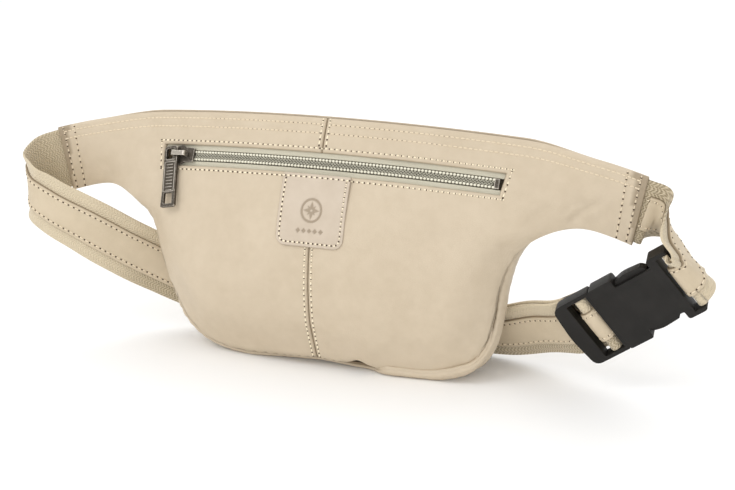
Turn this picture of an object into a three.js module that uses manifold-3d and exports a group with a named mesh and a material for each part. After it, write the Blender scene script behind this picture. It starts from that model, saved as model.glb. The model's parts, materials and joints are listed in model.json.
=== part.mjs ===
// A leather money belt: a waist bag with a front zip, two wings, and a webbing belt with a side-release buckle.
// Millimetres, +Z up. +X runs along the bag, the front faces -Y, and z = 0 is the surface the bag stands on.
import * as THREE from 'three';
import { mergeVertices } from 'three/addons/utils/BufferGeometryUtils.js';
import Module from 'manifold-3d';

const wasm = await Module();
wasm.setup();

// ---- Driving sizes -------------------------------------------------------------------------------

const gap = 0.3; // clearance between two pieces that lie against each other
const leather = 1.6; // thickness of the bag's leather

// Bag outline
const topHeight = 152; // top edge above the table, at the middle
const tipTopX = 192; // half length of the bag at the top edge
const tipBottomX = 184; // half length at the lower corner of a wing
const wingWidth = 43; // height of a wing
const pouchHalf = 104; // half width of the pouch at its widest level
const baseDepth = 15; // y of the back panel above the table
const bellyForward = 27; // how far the front bulges in front of the base point
const bellyHeight = 53.4; // level at which it bulges most
const frontLean = THREE.MathUtils.degToRad(28.5); // backward lean of the upper front
const straightFrom = 117; // above this level the front is straight in profile
const wingGap = 2.4; // space between the two leathers of a wing
const backBulge = 2.5;
const edgeRound = 13; // how far the front turns back at its sewn edge
const edgeReach = 28; // width of the stretch that turns back
const baseRound = 0.3; // share of that turn along the base
const footHalf = 12; // half length of the flat at the middle of the base
const footHeight = 5.6; // where the lower edge is below this, the base lies flat on the table
const tipBack = 18; // how far a wing tip lies behind the middle of the bag
const tipDrop = 22; // how far a wing tip hangs below it

// Zip
const zipHeight = 127.4;
const zipRadius = 473; // radius of the zip's curve, front face of the leather
const windowLength = 222;
const windowHeight = 13.5;
const tapeWidth = 14;
const tapeThickness = 0.8;
const coilWidth = 3.1;
const coilHeight = 2.1;
const coilSplit = 0.2;
const sliderLength = 15.5;
const sliderWidth = 12.4;
const sliderNeck = 8.6; // width of the slider's straight end
const sliderPlate = 1.3;
const sliderInset = 15.85; // slider's centre from the window's left end
const pullerLength = 39;
const pullerThickness = 2;
const pullerClear = 0.95; // puller to slider
const pullerLean = THREE.MathUtils.degToRad(8); // the puller hangs aslant on the zip's slope

// Label
const labelWidth = 43;
const labelLow = 81;
const labelHigh = 119.3;
const labelThickness = 1;

// Belt
const webbingWidth = 38;
const webbingThickness = 1.6;
const stripWidth = 21;
const stripThickness = 1.4;

// Buckle, in its own axes: u along it, v across it, w through it
const buckleLength = 80;
const buckleWidth = 44;
const buckleThickness = 10;
const buckleCentre = new THREE.Vector3(186.3, 5, 55.8);
const bucklePitch = THREE.MathUtils.degToRad(35.4);
const buckleYaw = THREE.MathUtils.degToRad(-3.9);
const buckleRoll = THREE.MathUtils.degToRad(15.5);
const femaleStart = -13.3; // u of the female's mouth
const barHalf = 1.5; // half width of a bar that the webbing goes round
const barClear = 0.5; // webbing to bar

// ---- Materials -----------------------------------------------------------------------------------

const finish = (color, roughness, metalness = 0) => new THREE.MeshStandardMaterial({ color, roughness, metalness });
const leatherFinish = finish(0xdcc9b0, 0.62);
const liningFinish = finish(0x8d8270, 0.9);
const tapeFinish = finish(0xbcbba9, 0.85);
const coilFinish = finish(0xa8a594, 0.45);
const metalFinish = finish(0x4a463f, 0.35, 0.9);
const webbingFinish = finish(0xcdbb98, 0.9);
const plasticFinish = finish(0x2d2a28, 0.5);

// ---- General solids ------------------------------------------------------------------------------

const lerp = THREE.MathUtils.lerp;
const smooth = THREE.MathUtils.smoothstep;

function signedVolume(points, triangles) {
  let sum = 0;
  const cross = new THREE.Vector3();
  for (let i = 0; i < triangles.length; i += 3) {
    const [a, b, c] = [points[triangles[i]], points[triangles[i + 1]], points[triangles[i + 2]]];
    sum += cross.crossVectors(b, c).dot(a);
  }
  return sum;
}

// A closed body through a row of equal closed loops. Each loop runs up one side and down the other,
// so its two ends are closed by strips between opposite points.
function loft(loops) {
  const count = loops[0].length;
  const points = loops.flat();
  const triangles = [];
  const quad = (a, b, c, d) => triangles.push(a, b, c, a, c, d);
  for (let i = 0; i + 1 < loops.length; i++) {
    for (let k = 0; k < count; k++) {
      const corners = [k, (k + 1) % count].map((n) => i * count + n);
      const [a, b, c, d] = [corners[0], corners[1], corners[1] + count, corners[0] + count];
      if (k < count / 2) quad(a, b, c, d); // both faces of a sheet are split along the same diagonal
      else quad(b, c, d, a);
    }
  }
  const last = (loops.length - 1) * count;
  for (let k = 0; k < count / 2 - 1; k++) {
    quad(count - 1 - k, count - 2 - k, k + 1, k);
    quad(last + k, last + k + 1, last + count - 2 - k, last + count - 1 - k);
  }
  if (signedVolume(points, triangles) < 0) triangles.reverse();
  const geometry = new THREE.BufferGeometry();
  geometry.setAttribute('position', new THREE.Float32BufferAttribute(points.flatMap((p) => [p.x, p.y, p.z]), 3));
  geometry.setIndex(triangles);
  return geometry;
}

function toManifold(geometry) {
  const bare = geometry.clone();
  bare.deleteAttribute('normal');
  bare.deleteAttribute('uv');
  const merged = mergeVertices(bare, 1e-4);
  const vertProperties = new Float32Array(merged.attributes.position.array);
  const triVerts = new Uint32Array(merged.index.array);
  return new wasm.Manifold(new wasm.Mesh({ numProp: 3, vertProperties, triVerts }));
}

function fromManifold(solid) {
  const mesh = solid.getMesh();
  const geometry = new THREE.BufferGeometry();
  geometry.setAttribute('position', new THREE.BufferAttribute(mesh.vertProperties, 3));
  geometry.setIndex(new THREE.BufferAttribute(mesh.triVerts, 1));
  return geometry;
}

function cut(geometry, ...tools) {
  return fromManifold(tools.reduce((solid, tool) => solid.subtract(toManifold(tool)), toManifold(geometry)));
}

function join(geometry, ...others) {
  return fromManifold(others.reduce((solid, other) => solid.add(toManifold(other)), toManifold(geometry)));
}

function box(x0, x1, y0, y1, z0, z1) {
  const geometry = new THREE.BoxGeometry(x1 - x0, y1 - y0, z1 - z0);
  return geometry.translate((x0 + x1) / 2, (y0 + y1) / 2, (z0 + z1) / 2);
}

function plate(shape, low, high, curveSegments = 5) {
  return new THREE.ExtrudeGeometry(shape, { depth: high - low, bevelEnabled: false, curveSegments })
    .translate(0, 0, low);
}

// A closed outline with rounded corners through [x, y, radius] points.
function roundedShape(corners) {
  const shape = new THREE.Shape();
  corners.forEach(([x, y, radius], i) => {
    const here = new THREE.Vector2(x, y);
    const before = new THREE.Vector2(...corners.at(i - 1).slice(0, 2));
    const after = new THREE.Vector2(...corners[(i + 1) % corners.length].slice(0, 2));
    before.sub(here);
    after.sub(here);
    const reach = Math.min(radius, 0.48 * before.length(), 0.48 * after.length());
    const from = here.clone().add(before.setLength(reach));
    const to = here.clone().add(after.setLength(reach));
    if (i === 0) shape.moveTo(from.x, from.y);
    else shape.lineTo(from.x, from.y);
    if (radius > 0) shape.quadraticCurveTo(x, y, to.x, to.y);
  });
  shape.closePath();
  return shape;
}

// ---- The bag's surfaces --------------------------------------------------------------------------

const leanSlope = Math.tan(frontLean);
const bellyCurve = leanSlope / (2 * (straightFrom - bellyHeight));
const arcEnd = windowLength / 2 + 7; // beyond this the wings leave the zip's curve
const wingMiddle = topHeight - wingWidth / 2;
const wingThickness = 2 * leather + wingGap;

function profileY(level) {
  if (level < straightFrom) return -bellyForward + bellyCurve * (level - bellyHeight) ** 2;
  const start = -bellyForward + bellyCurve * (straightFrom - bellyHeight) ** 2;
  return start + leanSlope * (level - straightFrom);
}

// How far the bag lies back (y) and hangs down (z) at a distance along its length.
function sweep(x) {
  const along = Math.min(Math.abs(x), arcEnd);
  const rest = Math.abs(x) - along;
  const depth = Math.sqrt(zipRadius ** 2 - along ** 2);
  const sag = zipRadius - depth + (along / depth) * rest;
  const tail = tipTopX - arcEnd;
  const endDepth = Math.sqrt(zipRadius ** 2 - arcEnd ** 2);
  const endSag = zipRadius - endDepth + (arcEnd / endDepth) * tail;
  const share = (rest / tail) ** 2;
  const back = sag * Math.cos(frontLean) + (tipBack - endSag * Math.cos(frontLean)) * share;
  const down = sag * Math.sin(frontLean) + (tipDrop - endSag * Math.sin(frontLean)) * share;
  return { back, down };
}

// Lower edge of the bag, as [half distance, level] points joined by a smooth curve. Its right corner is fuller.
const wingEdge = [[pouchHalf + 14, 85], [pouchHalf + 29, 101], [pouchHalf + 50, 109.5],
  [tipBottomX, topHeight - wingWidth]];
const edgePoints = (corners) => new THREE.SplineCurve([...corners, ...wingEdge]
  .map(([x, z]) => new THREE.Vector2(x, z))).getPoints(400);
const leftEdge = edgePoints([[0, 6.5], [28, 5.2], [54, 5.2], [75, 11.5], [92, 26], [pouchHalf, 47],
  [pouchHalf + 6.5, 66]]);
const rightEdge = edgePoints([[0, 6.5], [28, 4.6], [54, 4], [75, 6.4], [94, 15.5], [pouchHalf, 30],
  [pouchHalf + 5, 48], [pouchHalf + 7.6, 66]]);
const edgeOf = (x) => (x < 0 ? leftEdge : rightEdge);

function lowLevel(x) {
  const along = Math.abs(x);
  const edge = edgeOf(x);
  const i = edge.findIndex((p) => p.x >= along);
  if (i < 1) return i === 0 ? edge[0].y : edge.at(-1).y;
  const [a, b] = [edge[i - 1], edge[i]];
  return lerp(a.y, b.y, (along - a.x) / (b.x - a.x));
}

function edgeDistance(x, level) {
  const along = Math.abs(x);
  let best = Infinity;
  const edge = edgeOf(x);
  for (let i = 0; i < edge.length; i += 4) {
    best = Math.min(best, Math.hypot(edge[i].x - along, edge[i].y - level));
  }
  return best;
}

function frontPoint(x, level) {
  const wing = smooth(Math.abs(x), arcEnd, tipBottomX - 20);
  const turn = Math.max(0, 1 - edgeDistance(x, level) / edgeReach) ** 2 * edgeRound;
  const turned = turn * smooth(straightFrom - level, 9, 30) * lerp(baseRound, 1, smooth(level, 8, 45));
  const { back, down } = sweep(x);
  const y = lerp(profileY(level) + turned, profileY(wingMiddle), wing) + back;
  return new THREE.Vector3(x, y, level - down);
}

function backPoint(x, level) {
  const front = frontPoint(x, level).y + wingThickness;
  const { down } = sweep(x);
  const top = frontPoint(x, topHeight).y + wingThickness;
  const height = level / topHeight;
  const plane = lerp(baseDepth, top, smooth(height, 0.35, 1)) + backBulge * Math.sin(Math.PI * height);
  return new THREE.Vector3(x, Math.max(front, plane), level - down);
}

// A point set a distance inside a surface, square to it.
function inside(surface, x, level, depth, inward) {
  const step = 0.5;
  const p = surface(x, level);
  const along = surface(x + step, level).sub(surface(x - step, level));
  const up = surface(x, level + step).sub(surface(x, level - step));
  const normal = along.cross(up).normalize();
  if (normal.y * inward < 0) normal.negate();
  return p.addScaledVector(normal, depth);
}

const frontInside = (x, level, depth) => inside(frontPoint, x, level, depth, 1);
const backInside = (x, level, depth) => inside(backPoint, x, level, depth, -1);

// Distances along the bag at which the panels have a column of points: closer together where the edge is steep.
function columns(from, to) {
  const marks = [0, 14, 28, 42, 56, 68, 78, 87, 95, 101, 106, 110, 114, 118, 123, 130, 140, 152, 165, 176, tipBottomX];
  const both = [...marks.map((x) => -x), ...marks].filter((x) => x > from + 1.5 && x < to - 1.5);
  return [...new Set([from, ...both, to])].sort((a, b) => a - b);
}

// A sheet of leather between two distances along the bag, its end slanting on a wing tip.
function sheet(point, from, to, thickness, rows = 11) {
  return loft(columns(from, to).map((x) => {
    const low = lowLevel(x);
    const slant = (level) => x * lerp(1, tipTopX / tipBottomX, smooth(Math.abs(x), tipBottomX - 24, tipBottomX)
      * (level - low) / (topHeight - low));
    const levels = Array.from({ length: rows }, (_, k) => lerp(low, topHeight, k / (rows - 1)));
    const outer = levels.map((level) => point(slant(level), level, 0));
    const inner = levels.map((level) => point(slant(level), level, thickness)).reverse();
    return [...outer, ...inner];
  }));
}

// ---- Zip ----------------------------------------------------------------------------------------

const zipAxis = new THREE.Vector3(0, Math.sin(frontLean), Math.cos(frontLean));
const zipCentre = new THREE.Vector3(0, profileY(zipHeight), zipHeight)
  .addScaledVector(new THREE.Vector3(0, -Math.cos(frontLean), Math.sin(frontLean)), -zipRadius);

// A point beside the zip: distance along the bag, height across the zip, and depth out of the leather's face.
function zipPoint(x, across, out) {
  const angle = x / zipRadius;
  const outward = new THREE.Vector3(
    Math.sin(angle), -Math.cos(angle) * Math.cos(frontLean), Math.cos(angle) * Math.sin(frontLean));
  return zipCentre.clone().addScaledVector(outward, zipRadius + out).addScaledVector(zipAxis, across);
}

function zipFrame(x, across = 0, out = 0) {
  const angle = x / zipRadius;
  const along = new THREE.Vector3(
    Math.cos(angle), Math.sin(angle) * Math.cos(frontLean), -Math.sin(angle) * Math.sin(frontLean));
  const outward = new THREE.Vector3().crossVectors(along, zipAxis);
  return new THREE.Matrix4().makeBasis(along, zipAxis, outward).setPosition(zipPoint(x, across, out));
}

// A strip that follows the zip's curve, with a section given as [across, out] points.
function zipStrip(x0, x1, section, steps) {
  return loft(Array.from({ length: steps + 1 }, (_, i) => {
    const x = lerp(x0, x1, i / steps);
    return section.map(([across, out]) => zipPoint(x, across, out));
  }));
}

const rectangle = (a0, a1, o0, o1) => [[a0, o0], [a0, o1], [a1, o1], [a1, o0]];
const windowHalf = windowLength / 2;
const tapeFront = -leather - gap;
const coilBack = tapeFront - 1.1;
const coilFront = coilBack + coilHeight;
const sliderX = -windowHalf + sliderInset;
const coilStart = sliderX + sliderLength / 2 - 1.6;
const coilEnd = windowHalf - 5.5;

function windowCutter(margin = 0) {
  const half = windowHeight / 2 + margin;
  return zipStrip(-windowHalf - margin, windowHalf + margin, rectangle(-half, half, -9, 6), 24);
}

function tape(side) {
  const inner = coilSplit / 2 + coilWidth + gap;
  const section = rectangle(inner, inner + tapeWidth - coilWidth, tapeFront - tapeThickness, tapeFront);
  const reach = windowHalf + 4;
  return zipStrip(-reach, reach, section.map(([a, o]) => [side * a, o]), 24);
}

function coil(side) {
  const [a0, a1] = [coilSplit / 2, coilSplit / 2 + coilWidth];
  const edge = 0.6;
  const section = [[a0, coilBack + edge], [a0, coilFront - edge], [a0 + edge, coilFront], [a1 - edge, coilFront],
    [a1, coilFront - edge], [a1, coilBack + edge], [a1 - edge, coilBack], [a0 + edge, coilBack]];
  return zipStrip(coilStart, coilEnd, section.map(([a, o]) => [side * a, o]), 24);
}

function stop(x0, x1, a0, a1) {
  return zipStrip(x0, x1, rectangle(a0, a1, coilBack, coilFront), 1);
}

// Front plate and back plate of the slider with the wedge between them, in the slider's own axes.
function sliderBody() {
  const half = sliderLength / 2;
  const wide = sliderWidth / 2;
  const neck = sliderNeck / 2;
  const crown = -2.3; // place of the widest point
  const outline = roundedShape([
    [-half, -neck + 0.3, 0.9], [crown, -wide, 0.7], [1.6, -neck - 0.3, 0.5], [half, -neck, 0.6],
    [half, neck, 0.6], [1.6, neck + 0.3, 0.5], [crown, wide, 0.7], [-half, neck - 0.3, 0.9],
  ]);
  const front = coilFront + gap;
  const back = coilBack - gap;
  const wedge = roundedShape([[-half + 0.6, -1.2, 0.3], [coilStart - sliderX - gap, -0.5, 0.2],
    [coilStart - sliderX - gap, 0.5, 0.2], [-half + 0.6, 1.2, 0.3]]);
  return join(plate(outline, front, front + sliderPlate), plate(outline, back - sliderPlate, back),
    plate(wedge, back - 0.2, front + 0.2));
}

const bridgeSpan = 10.4;
const bridgeMiddle = -1.5; // from the slider's centre
const bridgeBar = 1.3;
const bridgeHalfWidth = 1.5;
const pullerRest = coilFront + gap + sliderPlate + pullerClear; // underside of the puller above the leather's face
const bridgeTop = pullerRest + pullerThickness + 0.6 + bridgeBar;

function sliderBridge() {
  const foot = coilFront + 2 * gap + sliderPlate;
  const half = bridgeSpan / 2;
  const arch = new THREE.Shape();
  arch.moveTo(-half, foot);
  arch.lineTo(-half, bridgeTop - 1);
  arch.quadraticCurveTo(-half, bridgeTop, -half + 1, bridgeTop);
  arch.lineTo(half - 1, bridgeTop);
  arch.quadraticCurveTo(half, bridgeTop, half, bridgeTop - 1);
  arch.lineTo(half, foot);
  arch.lineTo(half - bridgeBar, foot);
  arch.lineTo(half - bridgeBar, bridgeTop - bridgeBar);
  arch.lineTo(-half + bridgeBar, bridgeTop - bridgeBar);
  arch.lineTo(-half + bridgeBar, foot);
  arch.closePath();
  return plate(arch, -bridgeHalfWidth, bridgeHalfWidth, 3).rotateX(Math.PI / 2).translate(bridgeMiddle, 0, 0);
}

// The puller's side bar lies under the bridge; its ring goes round the bridge's left foot.
const pullerAxis = -3.85; // the side bar's centre from the slider's centre
const ringHigh = 5;

function puller() {
  const low = ringHigh - pullerLength;
  const side = pullerAxis + 0.85;
  const outline = roundedShape([
    [side - 9.6, ringHigh, 2], [side - 9.7, low + 10, 0.3], [side - 10.4, low, 0.8], [side + 0.3, low, 0.8],
    [side, low + 10, 0.3], [side, ringHigh, 2]]);
  const eye = roundedShape([[side - 8.2, -3.4, 1], [side - 1.7, -3.4, 0.4], [side - 1.7, 3.5, 1.4], [side - 8.2, 3.5, 1.6]]);
  const slot = roundedShape([[side - 8.2, low + 2, 0.6], [side - 1.9, low + 2, 0.6],
    [side - 1.9, low + 9, 0.6], [side - 8.2, low + 9, 0.6]]);
  outline.holes.push(new THREE.Path(eye.getPoints(4)), new THREE.Path(slot.getPoints(4)));
  return plate(outline, -pullerThickness / 2, pullerThickness / 2, 4)
    .translate(-pullerAxis, 0, 0).rotateZ(pullerLean).translate(pullerAxis, 0, pullerRest + pullerThickness / 2);
}

// ---- Bag pieces ----------------------------------------------------------------------------------

function gusset() {
  const reach = pouchHalf + 26;
  const half = (edge) => edge.filter((p, i) => p.x > footHalf && p.x < reach && (i % 9 === 0 || p.x > reach - 1));
  const path = [...half(leftEdge).map((p) => new THREE.Vector2(-p.x, p.y)).reverse(), ...half(rightEdge)];
  return loft(path.map((p, i) => {
    const before = path[Math.max(i - 1, 0)];
    const after = path[Math.min(i + 1, path.length - 1)];
    const normal = new THREE.Vector2(after.y - before.y, before.x - after.x).normalize();
    const { down } = sweep(p.x);
    const front = frontInside(p.x, p.y, leather + gap).y + 0.9;
    const back = Math.max(backInside(p.x, p.y, leather + gap).y - 0.2, front + 0.6);
    const height = p.y - down;
    const bulge = Math.min(4, (back - front) / 5) * (1 - smooth(Math.abs(p.x), reach - 20, reach));
    const place = (y, out) => new THREE.Vector3(p.x + normal.x * out, y, height + normal.y * out);
    const rest = (y, out) => {
      const point = place(y, out);
      if (height < footHeight || point.z < 0) point.z = 0;
      return point;
    };
    const shoulder = (back - front) / 6;
    return [place(front, 0), rest(front + shoulder, bulge), rest(back - shoulder, bulge), place(back, 0),
      place(back, -leather), place(back - shoulder, bulge - leather - 0.4),
      place(front + shoulder, bulge - leather - 0.4), place(front, -leather)];
  }));
}

function pillow(depth, reach, lowMargin) {
  const marks = columns(-reach, reach);
  const rows = 9;
  return loft(marks.map((x) => {
    const levels = Array.from({ length: rows }, (_, k) =>
      lerp(lowLevel(x) + lowMargin, topHeight - 7 - depth / 3, k / (rows - 1)));
    const front = levels.map((level) => frontInside(x, level, depth));
    const back = levels.map((level) => backInside(x, level, depth));
    back.forEach((p, k) => {
      p.y = Math.max(p.y, front[k].y + 1);
    });
    return [...front, ...back.reverse()];
  }));
}

function lining() {
  const outer = leather + 2 * gap + tapeThickness;
  return cut(pillow(outer, 97, 9), pillow(outer + 0.8, 96, 10), windowCutter(0.5));
}

function labelPatch() {
  const xs = Array.from({ length: 9 }, (_, i) => lerp(-labelWidth / 2, labelWidth / 2, i / 8));
  const corner = 6;
  return loft(xs.map((x) => {
    const past = Math.max(0, Math.abs(x) - (labelWidth / 2 - corner));
    const low = labelLow + corner - Math.sqrt(Math.max(0, corner ** 2 - past ** 2));
    const levels = Array.from({ length: 6 }, (_, k) => lerp(low, labelHigh, k / 5));
    const face = levels.map((level) => frontInside(x, level, -gap - labelThickness));
    const under = levels.map((level) => frontInside(x, level, -gap)).reverse();
    return [...face, ...under];
  }));
}

// ---- Belt ---------------------------------------------------------------------------------------

const buckleAxis = new THREE.Vector3(
  Math.cos(bucklePitch) * Math.cos(buckleYaw), Math.cos(bucklePitch) * Math.sin(buckleYaw), Math.sin(bucklePitch));
const levelFace = new THREE.Vector3(Math.sin(buckleYaw), -Math.cos(buckleYaw), 0);
const buckleFace = levelFace.clone().applyAxisAngle(buckleAxis, buckleRoll);
const buckleAcross = new THREE.Vector3().crossVectors(buckleFace, buckleAxis);
const buckleFrame = new THREE.Matrix4().makeBasis(buckleAxis, buckleAcross, buckleFace).setPosition(buckleCentre);
const inBuckle = (u, v, w) => new THREE.Vector3(u, v, w).applyMatrix4(buckleFrame);

// A stretch of belt: places with the direction of its upper edge. The centres run through a smooth curve.
function stretch(stations, steps) {
  const centre = new THREE.CatmullRomCurve3(stations.map(([p]) => p), false, 'centripetal');
  const up = new THREE.CatmullRomCurve3(stations.map(([, d]) => d), false, 'centripetal');
  return Array.from({ length: steps + 1 }, (_, i) => ({
    place: centre.getPoint(i / steps), up: up.getPoint(i / steps).normalize(),
  }));
}

// A piece of belt bent in the buckle's own section: a start [u, w] and heading, then [radius, turn] or length.
function bent(u, w, heading, moves) {
  const route = [{ u, w }];
  let [x, y, angle] = [u, w, heading];
  for (const move of moves) {
    if (typeof move === 'number') {
      x += move * Math.cos(angle);
      y += move * Math.sin(angle);
      route.push({ u: x, w: y });
      continue;
    }
    const [radius, turn] = move;
    const parts = Math.max(3, Math.ceil(Math.abs(turn) / 0.42));
    for (let i = 0; i < parts; i++) {
      const half = turn / parts / 2;
      const chord = 2 * radius * Math.sin(Math.abs(half));
      angle += half;
      x += chord * Math.cos(angle);
      y += chord * Math.sin(angle);
      angle += half;
      route.push({ u: x, w: y });
    }
  }
  return route.map((p) => ({ place: inBuckle(p.u, 0, p.w), up: buckleAcross.clone() }));
}

// Square cuts through a route: the direction along it, across it and out of its face.
function framed(route) {
  return route.map(({ place, up }, i) => {
    const along = route[Math.min(i + 1, route.length - 1)].place.clone()
      .sub(route[Math.max(i - 1, 0)].place).normalize();
    const across = up.clone().addScaledVector(along, -up.dot(along)).normalize();
    return { place, along, across, face: new THREE.Vector3().crossVectors(along, across) };
  });
}

// A flat band on a framed route, from one depth to another and centred on it.
function band(frames, width, from, to) {
  const half = width / 2;
  const middle = Math.min(half, stripWidth / 2);
  const sides = half > middle ? [-half, -middle, middle, half] : [-half, half];
  return loft(frames.map(({ place, across, face }) => {
    const at = (side, depth) => place.clone().addScaledVector(across, side).addScaledVector(face, depth);
    return [...sides.map((side) => at(side, from)), ...sides.toReversed().map((side) => at(side, to))];
  }));
}

const V = (x, y, z) => new THREE.Vector3(x, y, z);
const upright = V(0, 0, 1);
const loopRadius = barHalf + barClear + webbingThickness / 2;
const ladderBar = -21.5; // u of the male's middle bar
const endBar = buckleLength / 2 - barHalf; // u of the female's bar
const wingMid = (x) => frontPoint(x, wingMiddle).lerp(backPoint(x, wingMiddle), 0.46);
const leaning = (x, lean) => wingMid(x + 1).sub(wingMid(x)).multiplyScalar(lean).add(upright);

const quarter = Math.PI / 2;
const bendRadius = 4.5;
const mainDepth = -7;
const tailDepth = -9.9;
const mainStart = ladderBar - loopRadius - bendRadius;

const leftFree = stretch([
  [wingMid(-172), upright], [wingMid(-182), upright], [wingMid(-191), upright],
  [V(-200.5, 14.3, 105.5), upright], [V(-205, 3, 99), upright], [V(-199, -7, 92.5), upright],
  [V(-184, -10, 84.5), upright], [V(-163, -6.5, 73.5), upright], [V(-142, 4.5, 58), upright],
  [V(-121, 18.5, 42.5), upright], [V(-96, 28.4, 29), upright], [V(-62, 30, 22), upright],
  [V(0, 30, 19.6), V(0, -0.1, 1)], [V(48, 30.5, 19.3), V(0.02, -0.2, 0.97)],
  [V(84, 31, 20), V(-0.05, -0.35, 0.9)], [V(108, 27.6, 22), V(-0.15, -0.4, 0.88)],
  [V(131, 20.5, 30), V(-0.35, -0.33, 0.87)], [inBuckle(-45, 3.5, mainDepth - 0.8), V(-0.5, -0.26, 0.82)],
  [inBuckle(mainStart - 7, 0.8, mainDepth), buckleAcross],
], 84);
const leftBend = bent(mainStart, mainDepth, 0, [
  [bendRadius, quarter], -mainDepth - bendRadius, [loopRadius, -Math.PI],
  -tailDepth - bendRadius, [bendRadius, -quarter],
]);
const tailGap = mainDepth - tailDepth;
const leftTail = framed(leftFree).slice(58, -2).reverse()
  .map(({ place, face, across }) => ({ place: place.clone().addScaledVector(face, -tailGap), up: across }));

const rightWrap = bent(endBar + 1.2, -loopRadius, Math.PI, [1.2, [loopRadius, -Math.PI]]);
const rightFree = stretch([
  [inBuckle(endBar, 0, loopRadius), buckleAcross], [inBuckle(42.8, 0.5, 0.8), V(-0.52, -0.38, 0.76)],
  [inBuckle(44.3, 3, -3.6), V(-0.08, -0.79, 0.61)], [inBuckle(41.1, 13.7, -12), V(0.02, -0.88, 0.47)],
  [inBuckle(42, 21.8, -20.3), V(0.05, -0.8, 0.6)], [V(198.5, 19.8, 106.2), V(0.15, -0.2, 0.97)],
  [wingMid(192), leaning(192, 0.12)], [wingMid(184), leaning(184, 0.12)], [wingMid(173), leaning(173, 0.08)],
], 64);

const leftRoute = framed([...leftFree, ...leftBend, ...leftTail]);
const rightRoute = framed([...rightWrap, ...rightFree.slice(1)]);
const wingInside = 12; // frames of the left belt end that are hidden between the leathers of a wing
const rightInside = 20;
const layer = webbingThickness / 2 + gap;

// ---- Buckle ---------------------------------------------------------------------------------------

const halfWide = buckleWidth / 2;
const halfThick = buckleThickness / 2;
const maleEnd = -buckleLength / 2;
const windowHalfV = webbingWidth / 2 + 0.5;
const collarEnd = 3;
const hornStart = 27;
const slotStart = endBar - loopRadius - webbingThickness / 2 - stripThickness - gap - 0.8;
const cavityHalf = halfThick - 1.7;
const collarInner = halfWide - 3.6;
const armReach = halfWide - 1.5;

function bar(u) {
  return new THREE.CylinderGeometry(barHalf, barHalf, 2 * windowHalfV + 2, 12).translate(u, 0, 0);
}

function maleFrame() {
  const face = femaleStart - gap;
  const outline = roundedShape([[maleEnd + 2, -halfWide, 5], [face, -halfWide, 1], [face, halfWide, 1],
    [maleEnd + 2, halfWide, 5], [maleEnd, 0, 6]]);
  const outerBar = maleEnd + 10.5;
  const frame = cut(plate(outline, -halfThick + 1, halfThick - 1),
    box(outerBar, face - 2.2, -windowHalfV, windowHalfV, -9, 9));
  const tongue = plate(roundedShape([[face - 1, -4, 0], [10, -4, 2], [10, 4, 2], [face - 1, 4, 0]]), -2, 2);
  return join(frame, bar(ladderBar), tongue);
}

function arm(side) {
  const start = femaleStart + 0.2;
  const outline = roundedShape([
    [start, 11.5, 0.5], [8, 12.5, 3], [22, 14, 2], [24.5, 16, 1.5], [22, armReach - 1, 3], [10, armReach, 3],
    [collarEnd + 0.6, armReach - 1.6, 0.6], [collarEnd + 0.6, collarInner - 0.6, 0.4], [start, collarInner - 2.5, 0.5],
  ]);
  const solid = plate(outline, -cavityHalf + 0.4, cavityHalf - 0.4, 3);
  return side > 0 ? solid : solid.rotateX(Math.PI);
}

function femaleBody() {
  const neck = halfWide - 5.5;
  const end = buckleLength / 2;
  const side = (s) => [[femaleStart, s * halfWide, 2], [collarEnd, s * halfWide, 1.5], [collarEnd, s * neck, 1],
    [hornStart, s * neck, 1], [hornStart, s * halfWide, 2], [end, s * halfWide, 3]];
  const outline = roundedShape([...side(1), ...side(-1).reverse()]);
  const pocket = box(femaleStart - 1, hornStart - 1.5, -collarInner, collarInner, -cavityHalf, cavityHalf);
  const sides = box(collarEnd, hornStart, -halfWide, halfWide, -cavityHalf, cavityHalf);
  const slot = box(slotStart, end + 1, -windowHalfV, windowHalfV, -9, 9);
  const shell = cut(plate(outline, -halfThick, halfThick), pocket, sides, slot);
  return join(shell, bar(endBar));
}

// ---- Assembly ------------------------------------------------------------------------------------

const bag = new THREE.Group();

function add(name, geometry, material, frame) {
  const mesh = new THREE.Mesh(geometry, material);
  mesh.name = name;
  if (frame) mesh.applyMatrix4(frame);
  bag.add(mesh);
}

const seamHalf = gap / 2;
add('front_panel_left', cut(sheet(frontInside, -tipBottomX, -seamHalf, leather), windowCutter()), leatherFinish);
add('front_panel_right', cut(sheet(frontInside, seamHalf, tipBottomX, leather), windowCutter()), leatherFinish);
add('back_panel', sheet(backInside, -tipBottomX, tipBottomX, leather), leatherFinish);
add('gusset', gusset(), leatherFinish);
add('lining', lining(), liningFinish);
add('label_patch', labelPatch(), leatherFinish);

add('zip_tape_upper', tape(1), tapeFinish);
add('zip_tape_lower', tape(-1), tapeFinish);
add('zip_coil_upper', coil(1), coilFinish);
add('zip_coil_lower', coil(-1), coilFinish);
const stopInner = coilSplit / 2 + 0.4;
const topStopX = sliderX - sliderLength / 2 - gap;
add('zip_top_stop_upper', stop(topStopX - 1.8, topStopX, stopInner, stopInner + 2.6), metalFinish);
add('zip_top_stop_lower', stop(topStopX - 1.8, topStopX, -stopInner - 2.6, -stopInner), metalFinish);
add('zip_bottom_stop', stop(coilEnd + gap, coilEnd + gap + 3, -coilWidth, coilWidth), metalFinish);
const sliderFrame = zipFrame(sliderX);
add('zip_slider_body', sliderBody(), metalFinish, sliderFrame);
add('zip_slider_bridge', sliderBridge(), metalFinish, sliderFrame);
add('zip_puller', puller(), metalFinish, sliderFrame);

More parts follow.
